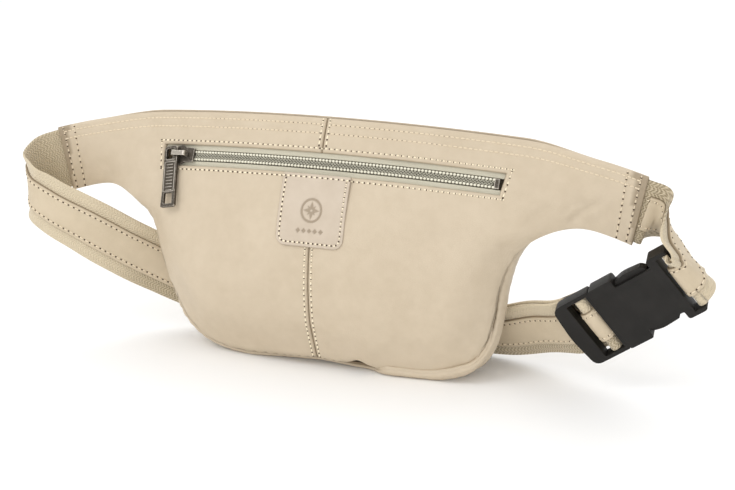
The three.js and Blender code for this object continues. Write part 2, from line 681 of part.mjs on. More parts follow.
add('left_strap_webbing', band(leftRoute, webbingWidth, -webbingThickness / 2, webbingThickness / 2), webbingFinish);
add('left_strap_inner_leather', band(leftRoute.slice(wingInside, -4), stripWidth, layer, layer + stripThickness),
  leatherFinish);
add('left_strap_outer_leather', band(leftRoute.slice(wingInside, 56), stripWidth, -layer - stripThickness, -layer),
  leatherFinish);
add('right_strap_webbing', band(rightRoute, webbingWidth, -webbingThickness / 2, webbingThickness / 2), webbingFinish);
add('right_strap_inner_leather', band(rightRoute.slice(2, -rightInside), stripWidth, layer, layer + stripThickness),
  leatherFinish);
add('right_strap_outer_leather', band(rightRoute.slice(36, -rightInside), stripWidth, -layer - stripThickness, -layer),
  leatherFinish);

add('buckle_male_frame', maleFrame(), plasticFinish, buckleFrame);
add('buckle_arm_upper', arm(1), plasticFinish, buckleFrame);
add('buckle_arm_lower', arm(-1), plasticFinish, buckleFrame);
add('buckle_female_body', femaleBody(), plasticFinish, buckleFrame);

export default bag;
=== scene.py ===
"""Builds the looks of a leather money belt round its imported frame.

Lengths inside the classes are millimetres; meshes are written in metres, in the frame of the CAD part.
"""
import json  # noqa: E402
import logging  # noqa: E402
import math  # noqa: E402
from dataclasses import dataclass, field  # noqa: E402
from enum import Enum  # noqa: E402
from typing import Callable, Iterable, Sequence  # noqa: E402

import bmesh  # noqa: E402
import bpy  # noqa: E402
import numpy as np  # noqa: E402
from mathutils import Matrix, Vector  # noqa: E402

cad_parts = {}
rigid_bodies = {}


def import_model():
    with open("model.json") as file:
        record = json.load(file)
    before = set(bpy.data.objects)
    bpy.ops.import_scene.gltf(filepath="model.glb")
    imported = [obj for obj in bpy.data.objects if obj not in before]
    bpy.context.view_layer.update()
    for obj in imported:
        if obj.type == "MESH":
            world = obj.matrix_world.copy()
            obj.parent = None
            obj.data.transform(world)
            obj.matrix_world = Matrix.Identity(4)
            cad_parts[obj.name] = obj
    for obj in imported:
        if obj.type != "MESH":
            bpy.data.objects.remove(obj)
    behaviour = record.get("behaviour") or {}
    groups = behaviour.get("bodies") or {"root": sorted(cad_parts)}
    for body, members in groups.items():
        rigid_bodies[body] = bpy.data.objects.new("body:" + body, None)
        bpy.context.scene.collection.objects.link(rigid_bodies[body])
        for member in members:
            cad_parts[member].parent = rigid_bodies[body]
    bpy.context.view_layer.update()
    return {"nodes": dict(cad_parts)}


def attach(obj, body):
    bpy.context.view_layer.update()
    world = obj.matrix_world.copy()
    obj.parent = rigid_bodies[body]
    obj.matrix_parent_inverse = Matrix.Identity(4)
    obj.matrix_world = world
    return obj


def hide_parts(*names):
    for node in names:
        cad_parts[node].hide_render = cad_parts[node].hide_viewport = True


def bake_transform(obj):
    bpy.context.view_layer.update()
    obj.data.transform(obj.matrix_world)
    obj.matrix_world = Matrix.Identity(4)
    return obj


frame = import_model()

MM = 0.001
LOG = logging.getLogger("money_belt")
Grid = np.ndarray


class Body(Enum):
    """The CAD bodies that pieces ride on."""

    BAG = "bag"
    SLIDER = "zip_slider"
    PULLER = "puller"
    UPPER_ARM = "upper_arm"
    LOWER_ARM = "lower_arm"
    FEMALE = "buckle_female"


class Slot(Enum):
    """The record's material slots."""

    LEATHER = "leather"
    LINING = "lining"
    TAPE = "zip_tape"
    COIL = "zip_coil"
    METAL = "antique_metal"
    WEBBING = "webbing"
    PLASTIC = "black_plastic"


# ---- Shader maths ---------------------------------------------------------------------------------


class Value:
    """A shader socket that can be used in Python arithmetic."""

    def __init__(self, tree: bpy.types.NodeTree, socket: bpy.types.NodeSocket) -> None:
        """Wraps an output socket of a material's tree."""
        self.tree = tree
        self.socket = socket

    def _math(self, operation: str, *others: "Value | float", swap: bool = False) -> "Value":
        """Adds a Math node.

        Args:
            operation: The node's operation.
            others: The other operands.
            swap: Whether this value is the second operand.

        Returns:
            The node's result.
        """
        node = self.tree.nodes.new("ShaderNodeMath")
        node.operation = operation
        operands = [*others, self] if swap else [self, *others]
        for socket, operand in zip(node.inputs, operands):
            if isinstance(operand, Value):
                self.tree.links.new(operand.socket, socket)
            else:
                socket.default_value = float(operand)
        return Value(self.tree, node.outputs[0])

    def __add__(self, other: "Value | float") -> "Value":
        """Returns the sum."""
        return self._math("ADD", other)

    __radd__ = __add__

    def __mul__(self, other: "Value | float") -> "Value":
        """Returns the product."""
        return self._math("MULTIPLY", other)

    __rmul__ = __mul__

    def __sub__(self, other: "Value | float") -> "Value":
        """Returns the difference."""
        return self._math("SUBTRACT", other)

    def __rsub__(self, other: "Value | float") -> "Value":
        """Returns the difference the other way round."""
        return self._math("SUBTRACT", other, swap=True)

    def __pow__(self, other: float) -> "Value":
        """Returns the power."""
        return self._math("POWER", other)

    def wave(self) -> "Value":
        """Returns the sine."""
        return self._math("SINE")

    def size(self) -> "Value":
        """Returns the value without its sign."""
        return self._math("ABSOLUTE")

    def least(self, other: "Value | float") -> "Value":
        """Returns the lesser of two values."""
        return self._math("MINIMUM", other)

    def most(self, other: "Value | float") -> "Value":
        """Returns the greater of two values."""
        return self._math("MAXIMUM", other)


class Paint:
    """A material's node tree, built from the surface shader backwards."""

    def __init__(self, name: str) -> None:
        """Starts a material with one Principled shader."""
        self.material = bpy.data.materials.new(name)
        self.material.use_nodes = True
        self.tree = self.material.node_tree
        self.shader = self.tree.nodes["Principled BSDF"]

    def node(self, kind: str, settings: dict[str, object] | None = None,
             inputs: dict[str, object] | None = None) -> bpy.types.Node:
        """Adds a node.

        Args:
            kind: The node's type.
            settings: Attributes set first; "stops" fills a ramp with (place, colour) pairs.
            inputs: Values, links or wrapped values for its sockets, by name.

        Returns:
            The node.
        """
        node = self.tree.nodes.new(kind)
        for key, value in (settings or {}).items():
            if key == "stops":
                ramp = node.color_ramp.elements
                while len(ramp) < len(value):
                    ramp.new(0.5)
                for stop, (place, colour) in zip(ramp, value):
                    stop.position = place
                    stop.color = (*colour, 1.0)
            else:
                setattr(node, key, value)
        for key, value in (inputs or {}).items():
            socket = node.inputs[key]
            if isinstance(value, Value):
                self.tree.links.new(value.socket, socket)
            elif isinstance(value, bpy.types.NodeSocket):
                self.tree.links.new(value, socket)
            else:
                socket.default_value = value
        return node

    def place(self) -> bpy.types.NodeSocket:
        """Returns the point on the piece, in metres."""
        return self.node("ShaderNodeTexCoord").outputs["Object"]

    def noise(self, scale: float, detail: float = 3.0, roughness: float = 0.55,
              at: bpy.types.NodeSocket | None = None) -> Value:
        """Returns a noise value of about 0.3 to 0.7, its scale in waves per metre."""
        made = self.node("ShaderNodeTexNoise", None, {
            "Vector": at or self.place(), "Scale": scale, "Detail": detail, "Roughness": roughness})
        return Value(self.tree, made.outputs[0])

    def cells(self, scale: float, feature: str = "F1", at: bpy.types.NodeSocket | None = None) -> Value:
        """Returns the distance in a cell pattern."""
        made = self.node("ShaderNodeTexVoronoi", {"feature": feature}, {
            "Vector": at or self.place(), "Scale": scale})
        return Value(self.tree, made.outputs["Distance"])

    def attribute(self, name: str) -> Value:
        """Returns a number kept on the mesh's points."""
        made = self.node("ShaderNodeAttribute", {"attribute_name": name})
        return Value(self.tree, made.outputs["Fac"])

    def strip_axes(self, name: str = "strip") -> tuple[Value, Value]:
        """Returns the distance along and across a strip, in metres, from its own map."""
        made = self.node("ShaderNodeUVMap", {"uv_map": name})
        split = self.node("ShaderNodeSeparateXYZ", None, {"Vector": made.outputs[0]})
        return Value(self.tree, split.outputs[0]), Value(self.tree, split.outputs[1])

    def ramp(self, value: Value,
             stops: Sequence[tuple[float, tuple[float, float, float]]]) -> bpy.types.NodeSocket:
        """Returns a colour from a value."""
        return self.node("ShaderNodeValToRGB", {"stops": stops}, {"Fac": value}).outputs[0]

    def blend(self, share: Value, first: object, second: object) -> bpy.types.NodeSocket:
        """Returns a mix of two colours."""
        made = self.node("ShaderNodeMix", {"data_type": "RGBA"})
        self.tree.links.new(share.socket, made.inputs[0])
        for socket, colour in ((made.inputs[6], first), (made.inputs[7], second)):
            if isinstance(colour, bpy.types.NodeSocket):
                self.tree.links.new(colour, socket)
            else:
                socket.default_value = (*colour, 1.0)
        return made.outputs[2]

    def finish(self, colour: object, roughness: "Value | float", height: Value | None = None,
               depth: float = 0.0003, **constants: float) -> bpy.types.Material:
        """Joins everything to the shader.

        Args:
            colour: A colour, or a socket that gives one.
            roughness: A value or a number.
            height: The relief for a Bump node.
            depth: The relief's depth in metres.
            constants: Numbers for the shader's other sockets; underscores stand for spaces.

        Returns:
            The material.
        """
        if isinstance(colour, bpy.types.NodeSocket):
            self.tree.links.new(colour, self.shader.inputs["Base Color"])
        else:
            self.shader.inputs["Base Color"].default_value = (*colour, 1.0)
        if isinstance(roughness, Value):
            self.tree.links.new(roughness.socket, self.shader.inputs["Roughness"])
        else:
            self.shader.inputs["Roughness"].default_value = roughness
        for key, value in constants.items():
            self.shader.inputs[key.replace("_", " ")].default_value = value
        if height is not None:
            bump = self.node("ShaderNodeBump", None, {"Height": height, "Distance": depth, "Strength": 1.0})
            self.tree.links.new(bump.outputs[0], self.shader.inputs["Normal"])
        return self.material


@dataclass(frozen=True)
class LeatherFinish:
    """Cream cowhide with fine pores and soft blotches, darkened by painted shade in its folds, seams, edges
    and recesses.
    """

    name: str = "cream_leather"
    pale: tuple[float, float, float] = (0.591, 0.496, 0.370)
    deep: tuple[float, float, float] = (0.542, 0.449, 0.327)
    # The colour that painted shade darkens the leather towards.
    crease: tuple[float, float, float] = (0.20, 0.145, 0.085)
    grain: float = 1250.0

    def material(self) -> bpy.types.Material:
        """Returns the finish as a material."""
        paint = Paint(self.name)
        blotch = paint.noise(22.0, 4.0) * 0.6 + paint.noise(140.0, 3.0) * 0.4
        base = paint.ramp(blotch, [(0.36, self.deep), (0.62, self.pale)])
        # A point attribute gives the painted shade in folds, seams, edges and recesses.
        shade = paint.attribute("crease")
        colour = paint.blend(shade, base, self.crease)
        pores = paint.cells(self.grain, "DISTANCE_TO_EDGE")
        fine = paint.noise(900.0, 4.0, 0.6)
        soft = paint.noise(120.0, 2.0)
        relief = pores.least(0.12) * 3.0 + fine * 0.5 + soft * 0.9
        rough = paint.noise(300.0, 2.0) * 0.16 + 0.44
        return paint.finish(colour, rough, relief, 0.00016, Specular_IOR_Level=0.42)


@dataclass(frozen=True)
class DebossFinish:
    """The label's smoother leather, darkened by painted shade in the pressed emblem and along its border."""

    name: str = "label_leather"
    pale: tuple[float, float, float] = (0.555, 0.469, 0.373)
    deep: tuple[float, float, float] = (0.514, 0.430, 0.335)
    # The colour of the painted shade in the pressed emblem and along the border.
    pressed: tuple[float, float, float] = (0.30, 0.235, 0.165)

    def material(self) -> bpy.types.Material:
        """Returns the finish as a material."""
        paint = Paint(self.name)
        base = paint.ramp(paint.noise(90.0, 4.0), [(0.34, self.deep), (0.66, self.pale)])
        # A point attribute gives the painted shade.
        colour = paint.blend(paint.attribute("crease"), base, self.pressed)
        relief = paint.cells(1700.0, "DISTANCE_TO_EDGE").least(0.12) * 2.0 + paint.noise(700.0, 3.0) * 0.6
        return paint.finish(colour, paint.noise(260.0) * 0.2 + 0.42, relief, 0.0001)


@dataclass(frozen=True)
class WebbingFinish:
    """Cotton webbing woven in a herringbone, read from the strip's own map; a point attribute sets how
    strongly the herringbone shows and darkens the webbing as painted shade where it is high.
    """

    name: str = "herringbone_webbing"
    pale: tuple[float, float, float] = (0.640, 0.545, 0.390)
    # The deep colour shows in the herringbone and, where the point attribute is high, as painted shade.
    deep: tuple[float, float, float] = (0.225, 0.175, 0.100)
    yarn: float = 0.0012
    row: float = 0.0042

    def material(self) -> bpy.types.Material:
        """Returns the finish as a material."""
        paint = Paint(self.name)
        along, across = paint.strip_axes()
        zig = ((across * (math.pi / self.row)).wave().size()) * 1.25
        twill = (along * (2 * math.pi / self.yarn / 1.6) + zig * 4.2).wave()
        ends = (across * (2 * math.pi / self.yarn)).wave()
        weave = twill * 0.34 + ends * 0.16 + 0.5
        fuzz = paint.noise(2600.0, 3.0, 0.7)
        # The point attribute strengthens the herringbone and darkens the webbing: painted shade, mostly on
        # the straps' concave inner faces.
        share = 1.0 - (1.0 - weave * 0.9 - fuzz * 0.15) * paint.attribute("weave")
        colour = paint.blend(share.least(1.0).most(0.0), self.deep, self.pale)
        return paint.finish(colour, 0.88, weave + fuzz * 0.35, 0.00042, Specular_IOR_Level=0.25,
                            Sheen_Weight=0.25)


@dataclass(frozen=True)
class TapeFinish:
    """Finely woven zip tape in a grey green."""

    name: str = "zip_tape_weave"
    pale: tuple[float, float, float] = (0.700, 0.665, 0.540)
    deep: tuple[float, float, float] = (0.470, 0.440, 0.345)
    yarn: float = 0.00075

    def material(self) -> bpy.types.Material:
        """Returns the finish as a material."""
        paint = Paint(self.name)
        along, across = paint.strip_axes()
        weave = (along * (2 * math.pi / self.yarn)).wave() * (across * (2 * math.pi / self.yarn)).wave()
        height = weave * 0.4 + 0.5
        colour = paint.blend(height + paint.noise(1500.0) * 0.3 - 0.15, self.deep, self.pale)
        return paint.finish(colour, 0.85, height, 0.00022, Specular_IOR_Level=0.3)


@dataclass(frozen=True)
class YarnFinish:
    """Sewing thread or cloth of one colour with a slight mottle."""

    name: str
    pale: tuple[float, float, float]
    deep: tuple[float, float, float]
    roughness: float = 0.7
    grain: float = 2500.0
    relief: float = 0.00008

    def material(self) -> bpy.types.Material:
        """Returns the finish as a material."""
        paint = Paint(self.name)
        mottle = paint.noise(self.grain, 3.0, 0.6)
        colour = paint.ramp(mottle, [(0.35, self.deep), (0.65, self.pale)])
        return paint.finish(colour, self.roughness, mottle, self.relief)


@dataclass(frozen=True)
class MetalFinish:
    """Antique gunmetal, rubbed bright on its raised edges."""

    name: str = "antique_gunmetal"
    bright: tuple[float, float, float] = (0.62, 0.57, 0.50)
    dark: tuple[float, float, float] = (0.082, 0.070, 0.056)

    def material(self) -> bpy.types.Material:
        """Returns the finish as a material."""
        paint = Paint(self.name)
        wear = paint.attribute("wear")
        patch = paint.noise(900.0, 4.0, 0.65)
        share = wear * 0.9 + (patch - 0.52).most(0.0) * 0.9
        colour = paint.blend(share.least(1.0), self.dark, self.bright)
        rough = 0.46 - wear * 0.18 + patch * 0.12
        return paint.finish(colour, rough, patch, 0.00006, Metallic=0.92)


@dataclass(frozen=True)
class PlasticFinish:
    """Black moulded acetal with a fine matt texture."""

    name: str = "black_acetal"
    pale: tuple[float, float, float] = (0.0165, 0.0150, 0.0132)
    deep: tuple[float, float, float] = (0.0120, 0.0108, 0.0095)

    def material(self) -> bpy.types.Material:
        """Returns the finish as a material."""
        paint = Paint(self.name)
        mottle = paint.noise(60.0, 3.0)
        spark = paint.noise(3800.0, 2.0)
        colour = paint.ramp(mottle, [(0.35, self.deep), (0.65, self.pale)])
        return paint.finish(colour, spark * 0.1 + 0.40, spark, 0.00003, Specular_IOR_Level=0.22)


@dataclass(frozen=True)
class FloorFinish:
    """The studio's white sweep."""

    name: str = "studio_floor"
    tone: float = 0.93

    def material(self) -> bpy.types.Material:
        """Returns the finish as a material."""
        return Paint(self.name).finish((self.tone,) * 3, 0.95, Specular_IOR_Level=0.1)


class Wardrobe:
    """Every finish, made once."""

    def __init__(self) -> None:
        """Makes the materials."""
        self.leather = LeatherFinish().material()
        self.strap_leather = LeatherFinish("strap_leather", (0.600, 0.502, 0.362),
                                           (0.550, 0.455, 0.320)).material()
        self.label = DebossFinish().material()
        self.webbing = WebbingFinish().material()
        self.tape = TapeFinish().material()
        self.metal = MetalFinish().material()
        self.plastic = PlasticFinish().material()
        self.thread = YarnFinish("cream_thread", (0.94, 0.85, 0.66), (0.80, 0.70, 0.51)).material()
        self.soft_thread = YarnFinish("leather_thread", (0.760, 0.655, 0.495),
                                      (0.660, 0.555, 0.400)).material()
        # Dark beads at the needle holes: painted shade in the holes.
        self.hole = YarnFinish("needle_hole_shade", (0.085, 0.052, 0.028), (0.05, 0.03, 0.016), 0.9).material()
        self.coil = YarnFinish("coil_nylon", (0.430, 0.410, 0.330), (0.300, 0.285, 0.225), 0.42, 900.0,
                               0.00003).material()
        # A dark sheet under the coil loops: painted shade between the loops and along the chain's edges.
        self.coil_shade = YarnFinish("coil_shade_sheet", (0.150, 0.140, 0.105), (0.100, 0.092, 0.068),
                                    0.8).material()
        self.coil_thread = YarnFinish("coil_thread", (0.88, 0.85, 0.72), (0.68, 0.65, 0.53), 0.7).material()
        self.lining = YarnFinish("lining_cloth", (0.30, 0.255, 0.195), (0.22, 0.185, 0.14), 0.92,
                                 1800.0).material()
        self.floor = FloorFinish().material()


# ---- Meshes ---------------------------------------------------------------------------------------


def make_object(name: str, points: Grid, faces: Sequence[Sequence[int]], material: bpy.types.Material,
                smooth: bool = True) -> bpy.types.Object:
    """Makes a mesh object from points in millimetres.

    Args:
        name: The piece's name.
        points: The points, in millimetres.
        faces: Point numbers of each face.
        material: Its finish.
        smooth: Whether faces are shaded smooth.

    Returns:
        The object, its faces pointing outwards.
    """
    mesh = bpy.data.meshes.new(name)
    mesh.from_pydata((np.asarray(points) * MM).tolist(), [], [list(f) for f in faces])
    work = bmesh.new()
    work.from_mesh(mesh)
    bmesh.ops.recalc_face_normals(work, faces=work.faces)
    work.to_mesh(mesh)
    work.free()
    mesh.polygons.foreach_set("use_smooth", [smooth] * len(mesh.polygons))
    mesh.materials.append(material)
    made = bpy.data.objects.new(name, mesh)
    bpy.context.scene.collection.objects.link(made)
    return made


def set_attribute(piece: bpy.types.Object, name: str, values: Grid) -> None:
    """Keeps a number on each of a mesh's points."""
    kept = piece.data.attributes.new(name, "FLOAT", "POINT")
    kept.data.foreach_set("value", np.asarray(values, np.float32).ravel())


def settle(piece: bpy.types.Object, body: Body, slot: Slot, *replaced: str) -> bpy.types.Object:
    """Rides a finished piece on its body and hides the nodes it stands for."""
    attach(piece, body.value)
    if replaced:
        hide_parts(*replaced)
    LOG.info("%s: %d faces on %s", piece.name, len(piece.data.polygons), body.value)
    return piece


def apply_modifiers(piece: bpy.types.Object) -> bpy.types.Object:
    """Turns a piece with modifiers into a plain mesh."""
    view = bpy.context.evaluated_depsgraph_get()
    mesh = bpy.data.meshes.new_from_object(piece.evaluated_get(view))
    piece.modifiers.clear()
    old = piece.data
    piece.data = mesh
    bpy.data.meshes.remove(old)
    return piece


def thick_grid(outer: Grid, inner: Grid, present: Grid, round_out: float = 0.35,
               extras: dict[str, Grid] | None = None) -> tuple[Grid, list[tuple[int, ...]], dict[str, Grid]]:
    """Joins two grids of points into a sheet with rounded edges.

    Args:
        outer: The outer face's points, (columns, rows, 3).
        inner: The inner face's points.
        present: Which cells have a face, (columns - 1, rows - 1).
        round_out: How far an edge's middle stands out.
        extras: Numbers on the outer face, kept for every point.

    Returns:
        Points, faces and the numbers.
    """
    nx, ny = outer.shape[:2]
    count = nx * ny
    index = np.arange(count).reshape(nx, ny)
    points = np.concatenate([outer.reshape(-1, 3), inner.reshape(-1, 3)])
    numbers = {k: np.concatenate([v.ravel(), v.ravel()]) for k, v in (extras or {}).items()}
    faces: list[tuple[int, ...]] = []
    middles: dict[int, int] = {}
    added: list[Grid] = []
    push: dict[int, Grid] = {}
    walls: list[tuple[int, int]] = []
    for i in range(nx - 1):
        for j in range(ny - 1):
            if not present[i, j]:
                continue
            a, b, c, d = index[i, j], index[i + 1, j], index[i + 1, j + 1], index[i, j + 1]
            faces.append((a, b, c, d))
            faces.append((d + count, c + count, b + count, a + count))
            sides = (((i, j - 1), a, b, (0, -1)), ((i + 1, j), b, c, (1, 0)),
                     ((i, j + 1), c, d, (0, 1)), ((i - 1, j), d, a, (-1, 0)))
            for (k, m), p, q, _ in sides:
                if 0 <= k < nx - 1 and 0 <= m < ny - 1 and present[k, m]:
                    continue
                walls.append((p, q))
                centre = (points[a] + points[b] + points[c] + points[d]) / 4
                away = (points[p] + points[q]) / 2 - centre
                along = points[q] - points[p]
                along = along / max(np.linalg.norm(along), 1e-9)
                away = away - along * (away @ along)
                away = away / max(np.linalg.norm(away), 1e-9)
                for n in (p, q):
                    push[n] = push.get(n, np.zeros(3)) + away
    for n, away in push.items():
        middles[n] = 2 * count + len(added)
        length = max(np.linalg.norm(away), 1e-9)
        added.append((points[n] + points[n + count]) / 2 + away / length * round_out)
        for values in numbers.values():
            values.resize(values.size + 1, refcheck=False)
            values[-1] = values[n]
    for p, q in walls:
        faces.append((q, p, middles[p], middles[q]))
        faces.append((middles[q], middles[p], p + count, q + count))
    points = np.concatenate([points, np.array(added)])
    used = sorted({n for f in faces for n in f})
    renumber = np.full(len(points), -1)
    renumber[used] = np.arange(len(used))
    return points[used], [tuple(renumber[list(f)]) for f in faces], {k: v[used] for k, v in numbers.items()}


class Sewing:
    """Rows of stitches, made by Geometry Nodes along lines of points."""

    def __init__(self, wardrobe: Wardrobe) -> None:
        """Builds the node tree once."""
        self.wardrobe = wardrobe
        self.tree, self.ids = self._build()

    def _build(self) -> tuple[bpy.types.NodeTree, dict[str, str]]:
        """Builds the tree.

        Returns:
            The tree and the identifier of each named input.
        """
        tree = bpy.data.node_groups.new("stitch_row", "GeometryNodeTree")
        ids = {}
        for name, kind in (("Geometry", "NodeSocketGeometry"), ("Pitch", "NodeSocketFloat"),
                           ("Phase", "NodeSocketFloat"), ("Radius", "NodeSocketFloat"),
                           ("Length", "NodeSocketFloat"), ("Finish", "NodeSocketMaterial")):
            ids[name] = tree.interface.new_socket(name, in_out="INPUT", socket_type=kind).identifier
        tree.interface.new_socket("Geometry", in_out="OUTPUT", socket_type="NodeSocketGeometry")
        add = tree.nodes.new
        link = tree.links.new
        enter, leave = add("NodeGroupInput"), add("NodeGroupOutput")
        curve = add("GeometryNodeMeshToCurve")
        trim = add("GeometryNodeTrimCurve")
        points = add("GeometryNodeCurveToPoints")
        trim.mode = "LENGTH"
        trim.inputs["End"].default_value = 1e4
        trim.inputs[5].default_value = 1e4
        points.mode = "LENGTH"
        bead = add("GeometryNodeMeshUVSphere")
        shape = add("GeometryNodeTransform")
        put = add("GeometryNodeInstanceOnPoints")
        bead.inputs["Segments"].default_value = 6
        bead.inputs["Rings"].default_value = 6
        bead.inputs["Radius"].default_value = 1.0
        scale = add("ShaderNodeCombineXYZ")
        real = add("GeometryNodeRealizeInstances")
        smooth = add("GeometryNodeSetShadeSmooth")
        dress = add("GeometryNodeSetMaterial")
        link(enter.outputs["Geometry"], curve.inputs[0])
        link(curve.outputs[0], trim.inputs["Curve"])
        link(enter.outputs["Phase"], trim.inputs[4])
        link(trim.outputs[0], points.inputs["Curve"])
        link(enter.outputs["Pitch"], points.inputs["Length"])
        link(points.outputs["Points"], put.inputs["Points"])
        link(points.outputs["Rotation"], put.inputs["Rotation"])
        for axis in (0, 1):
            link(enter.outputs["Radius"], scale.inputs[axis])
        link(enter.outputs["Length"], scale.inputs[2])
        link(bead.outputs["Mesh"], shape.inputs["Geometry"])
        link(scale.outputs[0], shape.inputs["Scale"])
        link(shape.outputs[0], put.inputs["Instance"])
        link(put.outputs[0], real.inputs[0])
        link(real.outputs[0], smooth.inputs[0])
        link(smooth.outputs[0], dress.inputs["Geometry"])
        link(enter.outputs["Finish"], dress.inputs["Material"])
        link(dress.outputs[0], leave.inputs[0])
        return tree, ids

    def row(self, name: str, lines: Sequence[Grid], pitch: float, phase: float, radius: float, half: float,
            finish: bpy.types.Material) -> bpy.types.Object:
        """Places a bead every pitch along each line.

        Args:
            name: The piece's name.
            lines: Points in millimetres, one array for each line.
            pitch: Distance from bead to bead.
            phase: Distance of the first bead from the line's start.
            radius: A bead's half thickness.
            half: A bead's half length.
            finish: Its material.

        Returns:
            The beads as one plain mesh.
        """
        points = np.concatenate(lines) * MM
        edges, start = [], 0
        for line in lines:
            edges += [(start + k, start + k + 1) for k in range(len(line) - 1)]
            start += len(line)
        mesh = bpy.data.meshes.new(name)
        mesh.from_pydata(points.tolist(), edges, [])
        piece = bpy.data.objects.new(name, mesh)
        bpy.context.scene.collection.objects.link(piece)
        rows = piece.modifiers.new("rows", "NODES")
        rows.node_group = self.tree
        for key, value in (("Pitch", pitch * MM), ("Phase", phase * MM), ("Radius", radius * MM),
                           ("Length", half * MM)):
            rows[self.ids[key]] = value
        rows[self.ids["Finish"]] = finish
        return apply_modifiers(piece)

    def stitches(self, name: str, lines: Sequence[Grid], pitch: float = 3.4, hole: float = 0.56,
                 soft: bool = False, thickness: float = 0.52) -> list[bpy.types.Object]:
        """Sews a row: threads with a dark bead between each two, painted shade in the needle hole."""
        half = pitch / 2 - hole * 0.55
        finish = self.wardrobe.soft_thread if soft else self.wardrobe.thread
        threads = self.row(f"{name}_thread", lines, pitch, pitch / 2, thickness, half, finish)
        # The dark beads between the threads are painted shade in the needle holes.
        hole_shades = self.row(f"{name}_holes", lines, pitch, 0.0, hole, hole * 1.15, self.wardrobe.hole)
        return [threads, hole_shades]


# ---- The bag's surfaces ---------------------------------------------------------------------------


def smoothstep(x: Grid, low: float, high: float) -> Grid:
    """Returns 0 below low, 1 above high, and a smooth share between."""
    t = np.clip((np.asarray(x, float) - low) / (high - low), 0, 1)
    return t * t * (3 - 2 * t)


def spline_2d(corners: Sequence[Sequence[float]], count: int) -> Grid:
    """Returns a uniform Catmull-Rom curve's points."""
    p = np.array(corners, float)
    last = len(p) - 1
    t = np.linspace(0, last, count + 1)
    i = np.minimum(np.floor(t).astype(int), last - 1)
    w = (t - i)[:, None]
    a, b, c, d = p[np.maximum(i - 1, 0)], p[i], p[i + 1], p[np.minimum(i + 2, last)]
    u, v = (c - a) / 2, (d - b) / 2
    return (2 * b - 2 * c + u + v) * w ** 3 + (-3 * b + 3 * c - 2 * u - v) * w ** 2 + u * w + b


